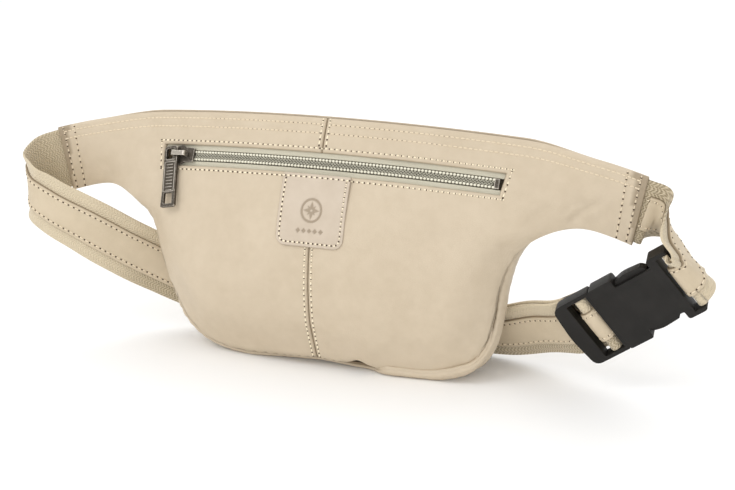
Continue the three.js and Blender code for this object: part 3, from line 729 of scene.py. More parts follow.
@dataclass
class BagShape:
    """The bag's front and back surfaces, as the CAD part has them."""

    leather: float = 1.6
    gap: float = 0.3
    top: float = 152.0
    tip_top: float = 192.0
    tip_bottom: float = 184.0
    wing: float = 43.0
    pouch: float = 104.0
    base_depth: float = 15.0
    belly: float = 27.0
    belly_level: float = 53.4
    lean: float = math.radians(28.5)
    straight_from: float = 117.0
    wing_gap: float = 2.4
    back_bulge: float = 2.5
    edge_round: float = 13.0
    edge_reach: float = 28.0
    base_round: float = 0.3
    tip_back: float = 18.0
    tip_drop: float = 22.0
    zip_level: float = 127.4
    zip_radius: float = 473.0
    window: float = 222.0
    window_height: float = 13.5
    slope: float = field(init=False)
    edges: dict[bool, Grid] = field(init=False)

    def __post_init__(self) -> None:
        """Works out the sizes that follow from the others."""
        self.slope = math.tan(self.lean)
        self.curve = self.slope / (2 * (self.straight_from - self.belly_level))
        self.arc_end = self.window / 2 + 7
        self.wing_middle = self.top - self.wing / 2
        wing = [[self.pouch + 14, 85], [self.pouch + 29, 101], [self.pouch + 50, 109.5],
                [self.tip_bottom, self.top - self.wing]]
        left = [[0, 6.5], [28, 5.2], [54, 5.2], [75, 11.5], [92, 26], [self.pouch, 47],
                [self.pouch + 6.5, 66]]
        right = [[0, 6.5], [28, 4.6], [54, 4], [75, 6.4], [94, 15.5], [self.pouch, 30], [self.pouch + 5, 48],
                 [self.pouch + 7.6, 66]]
        self.edges = {True: spline_2d(left + wing, 400), False: spline_2d(right + wing, 400)}
        self.axis = np.array([0.0, math.sin(self.lean), math.cos(self.lean)])
        face = np.array([0.0, -math.cos(self.lean), math.sin(self.lean)])
        self.centre = (np.array([0.0, float(self.profile(self.zip_level)), self.zip_level])
                       - face * self.zip_radius)

    def profile(self, level: Grid) -> Grid:
        """Returns y of the front at a level, at the middle."""
        level = np.asarray(level, float)
        curve = -self.belly + self.curve * (level - self.belly_level) ** 2
        start = -self.belly + self.curve * (self.straight_from - self.belly_level) ** 2
        return np.where(level < self.straight_from, curve, start + self.slope * (level - self.straight_from))

    def sweep(self, x: Grid) -> tuple[Grid, Grid]:
        """Returns how far the bag lies back and hangs down at x."""
        far = np.abs(np.asarray(x, float))
        along = np.minimum(far, self.arc_end)
        rest = far - along
        depth = np.sqrt(self.zip_radius ** 2 - along ** 2)
        sag = self.zip_radius - depth + along / depth * rest
        tail = self.tip_top - self.arc_end
        end = math.sqrt(self.zip_radius ** 2 - self.arc_end ** 2)
        end_sag = self.zip_radius - end + self.arc_end / end * tail
        share = (rest / tail) ** 2
        back = sag * math.cos(self.lean) + (self.tip_back - end_sag * math.cos(self.lean)) * share
        down = sag * math.sin(self.lean) + (self.tip_drop - end_sag * math.sin(self.lean)) * share
        return back, down

    def low(self, x: Grid) -> Grid:
        """Returns the level of the lower edge at x."""
        x = np.asarray(x, float)
        left, right = self.edges[True], self.edges[False]
        return np.where(x < 0, np.interp(-x, left[:, 0], left[:, 1]), np.interp(x, right[:, 0], right[:, 1]))

    def edge_distance(self, x: Grid, level: Grid) -> Grid:
        """Returns the distance from the lower edge."""
        x, level = np.broadcast_arrays(np.asarray(x, float), np.asarray(level, float))
        best = np.full(x.shape, 1e9)
        for is_left, mask in ((True, x < 0), (False, x >= 0)):
            edge = self.edges[is_left][::4]
            if mask.any():
                dx = np.abs(x[mask])[:, None] - edge[None, :, 0]
                dz = level[mask][:, None] - edge[None, :, 1]
                best[mask] = np.sqrt((dx ** 2 + dz ** 2).min(1))
        return best

    def front(self, x: Grid, level: Grid) -> Grid:
        """Returns points of the front surface."""
        x, level = np.broadcast_arrays(np.asarray(x, float), np.asarray(level, float))
        wing = smoothstep(np.abs(x), self.arc_end, self.tip_bottom - 20)
        turn = np.maximum(0, 1 - self.edge_distance(x, level) / self.edge_reach) ** 2 * self.edge_round
        share = self.base_round + (1 - self.base_round) * smoothstep(level, 8, 45)
        turned = turn * smoothstep(self.straight_from - level, 9, 30) * share
        back, down = self.sweep(x)
        y = (1 - wing) * (self.profile(level) + turned) + wing * float(self.profile(self.wing_middle)) + back
        return np.stack([x, y, level - down], -1)

    def back(self, x: Grid, level: Grid) -> Grid:
        """Returns points of the back surface."""
        x, level = np.broadcast_arrays(np.asarray(x, float), np.asarray(level, float))
        thick = 2 * self.leather + self.wing_gap
        front = self.front(x, level)[..., 1] + thick
        top = self.front(x, np.full(x.shape, self.top))[..., 1] + thick
        share = smoothstep(level / self.top, 0.35, 1)
        plane = (self.base_depth * (1 - share) + top * share
                 + self.back_bulge * np.sin(np.pi * level / self.top))
        return np.stack([x, np.maximum(front, plane), level - self.sweep(x)[1]], -1)

    def inside(self, surface: Callable[[Grid, Grid], Grid], x: Grid, level: Grid, depth: Grid | float,
               inward: int) -> Grid:
        """Returns points a distance inside a surface, square to it."""
        step = 0.5
        x, level = np.broadcast_arrays(np.asarray(x, float), np.asarray(level, float))
        along = surface(x + step, level) - surface(x - step, level)
        up = surface(x, level + step) - surface(x, level - step)
        normal = np.cross(along, up)
        normal /= np.linalg.norm(normal, axis=-1, keepdims=True)
        normal *= np.where(normal[..., 1:2] * inward < 0, -1, 1)
        return surface(x, level) + normal * (np.asarray(depth)[..., None] if np.ndim(depth) else depth)

    def on_front(self, x: Grid, level: Grid, out: float = 0.0) -> Grid:
        """Returns points standing out of the front surface."""
        return self.inside(self.front, x, level, -out, 1)

    def zip_point(self, x: Grid, across: Grid | float, out: Grid | float) -> Grid:
        """Returns points beside the zip: distance along it, across it and out of the leather's face."""
        x, across, out = np.broadcast_arrays(np.asarray(x, float), np.asarray(across, float),
                                             np.asarray(out, float))
        angle = x / self.zip_radius
        outward = np.stack([np.sin(angle), -np.cos(angle) * math.cos(self.lean),
                            np.cos(angle) * math.sin(self.lean)], -1)
        return self.centre + outward * (self.zip_radius + out)[..., None] + self.axis * across[..., None]

    def zip_matrix(self, x: float) -> Grid:
        """Returns the slider's axes at a distance along the zip, as a 4 by 4 matrix in millimetres."""
        angle = x / self.zip_radius
        along = np.array([math.cos(angle), math.sin(angle) * math.cos(self.lean),
                          -math.sin(angle) * math.sin(self.lean)])
        made = np.eye(4)
        made[:3, 0], made[:3, 1], made[:3, 2] = along, self.axis, np.cross(along, self.axis)
        made[:3, 3] = self.zip_point(x, 0, 0)
        return made

    def wing_middle_point(self, x: float) -> Grid:
        """Returns the place of the belt's centre inside a wing."""
        front = self.front(np.array(x), np.array(self.wing_middle))
        back = self.back(np.array(x), np.array(self.wing_middle))
        return front + (back - front) * 0.46


def vector(*parts: float) -> Grid:
    """Returns a place or a direction from its three parts."""
    return np.array(parts, float)


def spaced(marks: Iterable[float], step: float) -> Grid:
    """Returns the marks with points between them no further apart than the step."""
    marks = sorted(set(marks))
    out = [marks[0]]
    for a, b in zip(marks, marks[1:]):
        parts = max(1, math.ceil((b - a) / step - 1e-6))
        out += [a + (b - a) * (k + 1) / parts for k in range(parts)]
    return np.array(out)


@dataclass(frozen=True)
class Crease:
    """A soft fold in the leather, from one place to another."""

    start: tuple[float, float]
    end: tuple[float, float]
    depth: float
    width: float


@dataclass
class BagLeather:
    """The bag's leather panels, gusset, lining and label."""

    shape: BagShape
    wardrobe: Wardrobe
    sewing: Sewing
    step: float = 2.0
    rim: float = 2.4
    seam_offset: float = 2.3
    pucker: float = 3.8
    pucker_at: float = 27.0
    lip: float = 8.5
    window_slant: float = 0.2
    creases: tuple[Crease, ...] = (
        Crease((166, 129), (147, 110), 1.5, 1.9), Crease((158, 127), (143, 116), 0.9, 1.5),
        Crease((174, 132), (164, 116), 1.1, 1.6), Crease((140, 122), (122, 104), 0.7, 3.0),
        Crease((152, 132), (163, 112), 0.7, 1.5),
        Crease((-168, 128), (-150, 114), 0.5, 2.4), Crease((-140, 121), (-121, 102), 0.45, 3.0),
        Crease((118, 98), (104, 76), 0.5, 3.4), Crease((-118, 98), (-105, 78), 0.5, 3.4),
        Crease((-98, 60), (-84, 34), 0.5, 4.5), Crease((100, 52), (88, 26), 0.5, 4.5),
        Crease((-24, 30), (18, 20), 0.35, 5.0), Crease((30, 36), (70, 24), 0.4, 5.0),
        Crease((-70, 30), (-34, 22), 0.35, 5.0), Crease((60, 88), (96, 104), 0.3, 5.0),
    )

    def build(self) -> None:
        """Builds every leather piece and its stitches."""
        self.panel("front_leather_left", -self.shape.tip_bottom, -0.15, "front_panel_left")
        self.panel("front_leather_right", 0.15, self.shape.tip_bottom, "front_panel_right")
        self.back_panel()
        self.gusset()
        self.lining()
        self.label()
        self.seams()

    def relief(self, x: Grid, level: Grid) -> tuple[Grid, Grid]:
        """Works out how far the front's leather stands out, and the painted shade in its folds, seams and
        edges.

        Args:
            x: Distances along the bag.
            level: Levels up the bag.

        Returns:
            The height in millimetres and the shade from 0 to 1.
        """
        s = self.shape
        edge = s.edge_distance(x, level)
        edge = np.minimum(edge, np.where(np.abs(x - self.pucker_at) < 14, np.maximum(level - self.hem(x), 0),
                                         99))
        out = (0.35 * np.sin(x / 17 + level / 31) * np.sin(level / 15 - x / 41)
               + 0.22 * np.sin(x / 9.1 - level / 12.7))
        out += 0.12 * np.sin(x / 4.7 + 2 * np.sin(level / 11)) * np.sin(level / 5.3)
        out *= smoothstep(edge, 0, 14) * smoothstep(s.top - level, 0, 12)
        # shade is painted shade: darker in the folds, along the centre seam, along the lower edge, on the
        # wings' end walls and round the window's rim.
        shade = np.zeros_like(out)
        for fold in self.creases:
            a, b = np.array(fold.start), np.array(fold.end)
            d = b - a
            t = np.clip(((x - a[0]) * d[0] + (level - a[1]) * d[1]) / (d @ d), 0, 1)
            bow = 2.0 * np.sin(t * math.pi)
            away = np.hypot(x - a[0] - d[0] * t, level - a[1] - d[1] * t - bow)
            near = np.exp(-(away / fold.width) ** 2) * np.sin(np.clip(t, 0.02, 0.98) * math.pi) ** 0.6
            out -= fold.depth * near
            shade += 0.10 * fold.depth * near
        seam = np.abs(x)
        out -= 1.15 * np.exp(-(seam / 0.85) ** 2)
        shade += 0.75 * np.exp(-(seam / 0.5) ** 2)
        groove = np.exp(-((seam - self.seam_offset) / 0.8) ** 2)
        out -= 0.22 * groove * (0.7 + 0.3 * np.cos(2 * math.pi * level / 3.4))
        for depth in (3.6, 8.4):
            line = np.exp(-((s.top - level - depth) / 0.8) ** 2)
            out -= 0.26 * line * (0.7 + 0.3 * np.cos(2 * math.pi * x / 3.4))
        out -= 0.5 * np.clip(1 - (s.top - level) / 1.4, 0, 1) ** 2
        sunk = 1 - 0.75 * smoothstep(level, 46, 78)
        out -= 0.9 * np.clip(1 - edge / 1.8, 0, 1) ** 2 * smoothstep(s.straight_from - level, 2, 16) * sunk
        out += 0.45 * np.exp(-((edge - 3.2) / 2.2) ** 2) * sunk
        shade += 0.9 * np.clip(1 - edge / 0.8, 0, 1) * sunk
        shade += 0.6 * (np.abs(x) > s.tip_bottom - 0.3)
        half_x, half_z = self.window_half()
        lean = np.clip(level - s.zip_level, -9, 9) * self.window_slant
        past_x, past_z = np.abs(x) - half_x - lean, np.abs(level - s.zip_level) - half_z
        rim = np.where((past_x > 0) & (past_z > 0), np.hypot(past_x, past_z), np.maximum(past_x, past_z))
        out -= 0.55 * np.clip(1 - rim / 1.1, 0, 1) ** 2
        out += 0.3 * np.exp(-((rim - 1.1) / 0.7) ** 2)
        out -= 0.28 * np.exp(-((rim - self.rim) / 0.75) ** 2)
        shade += 0.35 * np.clip(1 - rim / 0.5, 0, 1)
        for tip in (3.2, 9.0):
            line = np.exp(-((s.tip_bottom - np.abs(x) - tip) / 0.9) ** 2)
            out -= 0.3 * line
        return out, np.clip(shade, 0, 1)

    def hem(self, x: Grid) -> Grid:
        """Returns the level of the front panels' lower edge, drawn up into a pucker right of the middle."""
        return (self.shape.low(x)
                + self.pucker * np.exp(-((np.asarray(x, float) - self.pucker_at) / 5.5) ** 2))

    def window_half(self) -> tuple[float, float]:
        """Returns the window's half length along x and half height in levels."""
        s = self.shape
        return s.zip_radius * math.sin(s.window / 2 / s.zip_radius), s.window_height / 2 * math.cos(s.lean)

    def slanted(self, x: Grid, level: Grid) -> Grid:
        """Returns x moved out where a wing's end slants, and in below the window's ends."""
        s = self.shape
        low = s.low(x)
        ratio = s.tip_top / s.tip_bottom - 1
        tip = x * (1 + ratio * smoothstep(np.abs(x), s.tip_bottom - 24, s.tip_bottom)
                   * (level - low) / (s.top - low))
        beside = (np.exp(-(((np.abs(x) - self.window_half()[0]) / 9) ** 2))
                  * np.exp(-(((level - s.zip_level) / 11) ** 2)))
        return tip + np.sign(x) * self.window_slant * (level - s.zip_level) * beside

    def columns(self, start: float, end: float) -> Grid:
        """Returns the columns of a panel, closer together beside seams."""
        half_x, _ = self.window_half()
        marks = [start, end]
        for side in (-1, 1):
            marks += [side * v for v in (0.15, 0.5, 0.9, 1.4, 2.0, 2.6, 3.4, 4.6)]
            marks += [side * (half_x + v) for v in (-1, 0, 0.4, 0.9, 1.6, 2.4, 3.2)]
            marks += [side * (self.shape.tip_bottom - v) for v in (0, 0.6, 2.2, 3.2, 4.2, 8, 9, 10)]
        return spaced([m for m in marks if start <= m <= end], self.step)

    def levels(self, x: Grid, rows: int = 46) -> Grid:
        """Returns the levels of each column, from the lower edge to the top."""
        s = self.shape
        _, half_z = self.window_half()
        near = np.array([0, 0.006, 0.014, 0.024, 0.036])
        share = np.concatenate([near, np.linspace(0.05, 1, rows - len(near))])
        low = self.hem(x)[:, None]
        lower = low + (s.straight_from - low) * share[None, :]
        z = s.zip_level
        marks = [s.straight_from, z - half_z - 2.6, z - half_z - 1.8, z - half_z - 1.0, z - half_z - 0.4,
                 z - half_z,
                 z, z + half_z, z + half_z + 0.4, z + half_z + 1.0, z + half_z + 1.8, z + half_z + 2.6]
        marks += [s.top - v for v in (9.4, 8.4, 7.4, 4.6, 3.6, 2.6, 1.4, 0.7, 0.25, 0)]
        upper = spaced(marks, self.step)[1:]
        return np.concatenate([lower, np.broadcast_to(upper, (len(x), len(upper)))], 1)

    def panel(self, name: str, start: float, end: float, node: str) -> None:
        """Builds one front panel with its half of the window."""
        s = self.shape
        columns = self.columns(start, end)
        level = self.levels(columns)
        x = self.slanted(np.broadcast_to(columns[:, None], level.shape), level)
        height, shade = self.relief(x, level)
        outer = s.inside(s.front, x, level, -height, 1)
        inner = s.inside(s.front, x, level, np.minimum(s.leather - height, s.leather + 0.2), 1)
        half_x, half_z = self.window_half()
        mid_x = (columns[1:] + columns[:-1]) / 2
        mid_z = (level[0, 1:] + level[0, :-1]) / 2
        hole = (np.abs(mid_x) < half_x)[:, None] & (np.abs(mid_z - s.zip_level) < half_z)[None, :]
        # The point attribute keeps the painted shade from relief().
        points, faces, numbers = thick_grid(outer, inner, ~hole, 0.3, {"crease": shade})
        piece = make_object(name, points, faces, self.wardrobe.leather)
        set_attribute(piece, "crease", numbers["crease"])
        settle(piece, Body.BAG, Slot.LEATHER, node)

    def back_panel(self) -> None:
        """Builds the back panel."""
        s = self.shape
        columns = spaced([-s.tip_bottom, -s.tip_bottom + 1, s.tip_bottom - 1, s.tip_bottom], 2.6)
        share = np.concatenate([[0, 0.008, 0.02], np.linspace(0.04, 0.96, 50), [0.98, 0.992, 1]])
        low = s.low(columns)[:, None]
        level = low + (s.top - low) * share[None, :]
        x = self.slanted(np.broadcast_to(columns[:, None], level.shape), level)
        edge = s.edge_distance(x, level)
        out = 0.5 * np.sin(x / 23 + level / 37) * np.sin(level / 19) * smoothstep(edge, 0, 14)
        out *= smoothstep(s.top - level, 0, 12)
        out -= 0.7 * np.clip(1 - edge / 1.8, 0, 1) ** 2 + 0.5 * np.clip(1 - (s.top - level) / 1.4, 0, 1) ** 2
        # Painted shade along the lower edge, where the panel meets the gusset.
        shade = 0.4 * np.clip(1 - edge / 0.9, 0, 1)
        outer = s.inside(s.back, x, level, -out, -1)
        inner = s.inside(s.back, x, level, s.leather - out, -1)
        closed = 1.9 * smoothstep(level, s.top - 2.6, s.top - 0.4)
        outer[..., 1] -= closed
        inner[..., 1] -= closed
        present = np.ones((len(columns) - 1, level.shape[1] - 1), bool)
        points, faces, numbers = thick_grid(outer, inner, present, 0.3, {"crease": shade})
        piece = make_object("back_leather", points, faces, self.wardrobe.leather)
        set_attribute(piece, "crease", numbers["crease"])
        settle(piece, Body.BAG, Slot.LEATHER, "back_panel")

    def gusset(self) -> None:
        """Builds the side and base panel, which swells between its two seams and lies flat on the table."""
        s = self.shape
        reach = s.pouch + 26
        path: list[Grid] = []
        for is_left in (True, False):
            edge = s.edges[is_left]
            kept = edge[(edge[:, 0] < reach)][::3]
            path.append(kept * [-1, 1] if is_left else kept)
        line = np.concatenate([path[0][::-1], path[1][1:]])
        tangent = np.gradient(line, axis=0)
        normal = np.stack([tangent[:, 1], -tangent[:, 0]], -1)
        normal /= np.linalg.norm(normal, axis=1, keepdims=True)
        down = s.sweep(line[:, 0])[1]
        front = s.inside(s.front, line[:, 0], line[:, 1], s.leather + s.gap, 1)[:, 1] + 0.6
        back = np.maximum(s.inside(s.back, line[:, 0], line[:, 1], s.leather + s.gap, -1)[:, 1] - 0.2,
                          front + 0.6)
        far = np.abs(line[:, 0])
        swell = np.minimum(5.5, (back - front) / 4) * (1 - smoothstep(far, reach - 20, reach))
        lip = self.lip * smoothstep(line[:, 0], 31, 46) * (1 - smoothstep(line[:, 0], 92, 112))
        lip = lip + 2.4 * smoothstep(-line[:, 0], 20, 50) * (1 - smoothstep(-line[:, 0], 92, 106))
        swell = swell + 1.2 * smoothstep(line[:, 0], 70, 98) * (1 - smoothstep(line[:, 1], 25, 55))
        rolled = np.clip(lip / self.lip, 0, 1) * np.clip(-normal[:, 1], 0, 1)
        shares = np.array([0, 0.015, 0.035, 0.06, 0.09, 0.13, 0.18, 0.24, 0.31, 0.4, 0.5, 0.62, 0.74, 0.82,
                           0.88,
                           0.93, 0.97, 1])
        rows_out, rows_in = [], []
        for share in shares:
            bow = math.sin(math.pi * share) ** 0.55
            fold = 0.35 * np.sin(line[:, 0] / 5.5 + 6 * share) * float(smoothstep(share, 0.15, 0.5))
            fold = fold * math.sin(math.pi * share)
            roll = math.sin(math.pi * min(1.0, share / 0.24)) ** 0.8 if share < 0.24 else 0.0
            y = front + (back - front) * share - lip * roll
            crest = math.sin(math.pi * min(1.0, share / 0.2))
            out = (swell + fold) * bow * (1 - rolled * (1 - float(smoothstep(share, 0.06, 0.2))))
            out = out + lip * crest ** 0.7 * (0.22 * (1 - rolled) - 0.42 * rolled
                                              * (1 - float(smoothstep(share, 0.07, 0.17))))
            for rows, depth in ((rows_out, 0.0), (rows_in, -s.leather)):
                p = np.stack([line[:, 0] + normal[:, 0] * (out + depth), y,
                              line[:, 1] - down + normal[:, 1] * (out + depth)], -1)
                floor = 0.05 + (0.0 if depth == 0 else s.leather)
                p[:, 2] = np.maximum(p[:, 2], floor)
                rows.append(p)
        outer, inner = np.stack(rows_out, 1), np.stack(rows_in, 1)
        # Painted shade along both seam lines, fading out higher up the sides.
        dark = np.exp(-(np.minimum(shares, 1 - shares) / 0.013) ** 2)
        shade = dark[None, :] * (1 - 0.8 * smoothstep(line[:, 1], 46, 78))[:, None]
        present = np.ones((outer.shape[0] - 1, outer.shape[1] - 1), bool)
        points, faces, numbers = thick_grid(outer, inner, present, 0.1, {"crease": shade})
        piece = make_object("gusset_leather", points, faces, self.wardrobe.leather)
        set_attribute(piece, "crease", numbers["crease"])
        settle(piece, Body.BAG, Slot.LEATHER, "gusset")

    def lining(self) -> None:
        """Builds the cloth bag inside the leather, open behind the zip."""
        s = self.shape
        depth = s.leather + 2 * s.gap + 0.8
        columns = spaced([-96.5, 96.5], 4.0)
        share = np.linspace(0, 1, 24)
        low = s.low(columns)[:, None] + 9.5
        level = low + (s.top - 9 - low) * share[None, :]
        x = np.broadcast_to(columns[:, None], level.shape)
        ripple = 0.25 + 0.25 * np.sin(x / 6 + level / 19)
        front = s.inside(s.front, x, level, depth + ripple, 1)
        back = s.inside(s.back, x, level, depth + ripple, -1)
        back[..., 1] = np.maximum(back[..., 1], front[..., 1] + 1)
        pillow = np.concatenate([front, back[:, ::-1]], 1)
        ring = np.concatenate([pillow, pillow[:, :1]], 1)
        middle = ring.mean(1, keepdims=True)
        inner = ring + (middle - ring) * 0.035
        mid = (level[0, 1:] + level[0, :-1]) / 2
        present = np.ones((len(columns) - 1, ring.shape[1] - 1), bool)
        present[2:-2, :len(mid)] &= ~(np.abs(mid - s.zip_level) < 4)[None, :]
        points, faces, _ = thick_grid(ring, inner, present, 0.0)
        settle(make_object("lining_cloth", points, faces, self.wardrobe.lining), Body.BAG, Slot.LINING,
               "lining")

    def emblem(self, x: Grid, z: Grid) -> Grid:
        """Returns 1 where the label's plain compass emblem is pressed in.

        Args:
            x: Distance from the emblem's middle.
            z: Height above it.

        Returns:
            The share pressed in at each point.
        """
        r = np.hypot(x, z)
        ring = 1 - smoothstep(np.abs(r - 6.2), 0.45, 0.85)
        star = np.zeros_like(r)
        for turn in (0.0, math.pi / 4):
            u = x * math.cos(turn) + z * math.sin(turn)
            v = -x * math.sin(turn) + z * math.cos(turn)
            long, slim = (5.4, 2.0) if turn == 0 else (3.8, 1.5)
            for a, b in ((u, v), (v, u)):
                star = np.maximum(star, 1 - smoothstep(np.abs(a) / long + np.abs(b) / slim, 0.8, 1.1))
        hub = 1 - smoothstep(r, 0.5, 0.9)
        step = np.abs((x + 9.0) % 3.6 - 1.8)
        beads = (1 - smoothstep(step + np.abs(z + 11.4), 1.25, 1.65)) * (np.abs(x) < 9.0)
        return np.clip(np.maximum(np.maximum(ring, star * (1 - hub)), beads), 0, 1)

    def label(self) -> None:
        """Builds the leather label with its pressed emblem and rounded lower corners."""
        s = self.shape
        width, low, high, thick, corner = 43.0, 81.0, 121.1, 1.0, 6.0
        columns = spaced([-width / 2, -width / 2 + 0.5, -11, 11, width / 2 - 0.5, width / 2], 0.42)
        past = np.maximum(0, np.abs(columns) - (width / 2 - corner))
        start = low + corner - np.sqrt(np.maximum(0, corner ** 2 - past ** 2))
        share = np.concatenate([[0, 0.012], np.linspace(0.03, 0.985, 88), [1]])
        level = start[:, None] + (high - start)[:, None] * share[None, :]
        x = np.broadcast_to(columns[:, None], level.shape)
        pressed = self.emblem(x, level - 101.5)
        border = np.minimum(np.minimum(width / 2 - np.abs(x), level - start[:, None]), high - level + 2)
        height = thick + s.gap - 0.5 * pressed - 0.35 * np.clip(1 - border / 0.8, 0, 1) ** 2
        height -= 0.22 * np.exp(-((border - 2.2) / 0.7) ** 2)
        outer = (s.on_front(x, level, 0)
                 + (s.on_front(x, level, 1) - s.on_front(x, level, 0)) * height[..., None])
        inner = s.on_front(x, level, 0.12)
        present = np.ones((len(columns) - 1, level.shape[1] - 1), bool)
        # Painted shade in the pressed emblem and along the label's border.
        shade = 0.85 * pressed + 0.5 * np.clip(1 - border / 0.35, 0, 1)
        points, faces, numbers = thick_grid(outer, inner, present, 0.15, {"crease": np.clip(shade, 0, 1)})
        piece = make_object("label_leather", points, faces, self.wardrobe.label)
        set_attribute(piece, "crease", numbers["crease"])
        settle(piece, Body.BAG, Slot.LEATHER, "label_patch")
        inset = 2.2
        t = np.linspace(0, 1, 60)
        half = width / 2 - inset
        bend = corner - inset
        arc = np.linspace(0, math.pi / 2, 14)
        high -= 1.6
        xs = np.concatenate([np.full(60, -half), -half + bend - bend * np.cos(arc),
                             np.linspace(-half + bend, half - bend, 50),
                             half - bend + bend * np.sin(arc), np.full(60, half)])
        ls = np.concatenate([high - 1.5 - (high - 1.5 - low - inset - bend) * t,
                             low + inset + bend - bend * np.sin(arc),
                             np.full(50, low + inset), low + inset + bend - bend * np.cos(arc),
                             low + inset + bend + (high - 1.5 - low - inset - bend) * t])
        self.sew("label_stitches", [s.on_front(xs, ls, thick + 0.12)], 2.9)

    def sew(self, name: str, lines: Sequence[Grid], pitch: float = 3.4, hole: float = 0.56,
            soft: bool = False) -> None:
        """Sews rows that ride on the bag."""
        for piece in self.sewing.stitches(name, lines, pitch, hole, soft):
            settle(piece, Body.BAG, Slot.LEATHER)

    def front_line(self, x: Grid, level: Grid, lift: Grid | float = 0.02) -> Grid:
        """Returns a sewing line that follows the front's relief."""
        x, level = np.broadcast_arrays(np.asarray(x, float), np.asarray(level, float))
        height, _ = self.relief(x, level)
        return self.shape.inside(self.shape.front, x, level, -(height + lift), 1)

    def seams(self) -> None:
        """Sews the panels' rows."""
        s = self.shape
        half_x, half_z = self.window_half()
        around = []
        for side in (-1, 1):
            reach = half_x + self.rim + side * self.window_slant * (half_z + self.rim)
            xs = np.linspace(-reach, reach, 400)
            level = np.full(400, s.zip_level + side * (half_z + self.rim * math.cos(s.lean)))
            on_label = ((side < 0) & (np.abs(xs) < 21.6))[:, None]
            around.append(np.where(on_label, s.on_front(xs, level, 1.22), self.front_line(xs, level)))
            zs = np.linspace(-half_z - self.rim * 0.5, half_z + self.rim * 0.5, 24)
            around.append(self.front_line(side * (half_x + self.rim + self.window_slant * zs),
                                          s.zip_level + zs))
        self.sew("zip_stitches", around)
        tops = []
        for depth in (3.6, 8.4):
            for side in (-1, 1):
                base = np.linspace(side * 3.4, side * (s.tip_bottom - 4), 300)
                level = np.full(300, s.top - depth)
                tops.append(self.front_line(self.slanted(base, level), level))
        self.sew("top_stitches", tops, 3.0, 0.3, True)
        centre = []
        for side in (-1, 1):
            for low, high in ((float(s.low(np.array(0.0))) + 1.5, 79.5),
                              (s.zip_level + half_z + 3.6, s.top - 1.5)):
                level = np.linspace(low, high, 120)
                centre.append(self.front_line(np.full(120, side * self.seam_offset), level))
        self.sew("centre_stitches", centre)
        ends = []
        for side in (-1, 1):
            for inset in (3.2, 9.0):
                level = np.linspace(s.top - s.wing + 1.5, s.top - 1.5, 60)
                base = np.full(60, side * (s.tip_bottom - inset))
                ends.append(self.front_line(self.slanted(base, level), level))
        self.sew("wing_stitches", ends, 3.6, 0.6, True)
        rear = []
        for depth in (3.6, 8.4):
            base = np.linspace(-s.tip_bottom + 4, s.tip_bottom - 4, 500)
            level = np.full(500, s.top - depth)
            rear.append(s.inside(s.back, self.slanted(base, level), level, -0.1, -1))
        self.sew("rear_stitches", rear, 3.0, 0.34, True)


# ---- Zip ------------------------------------------------------------------------------------------


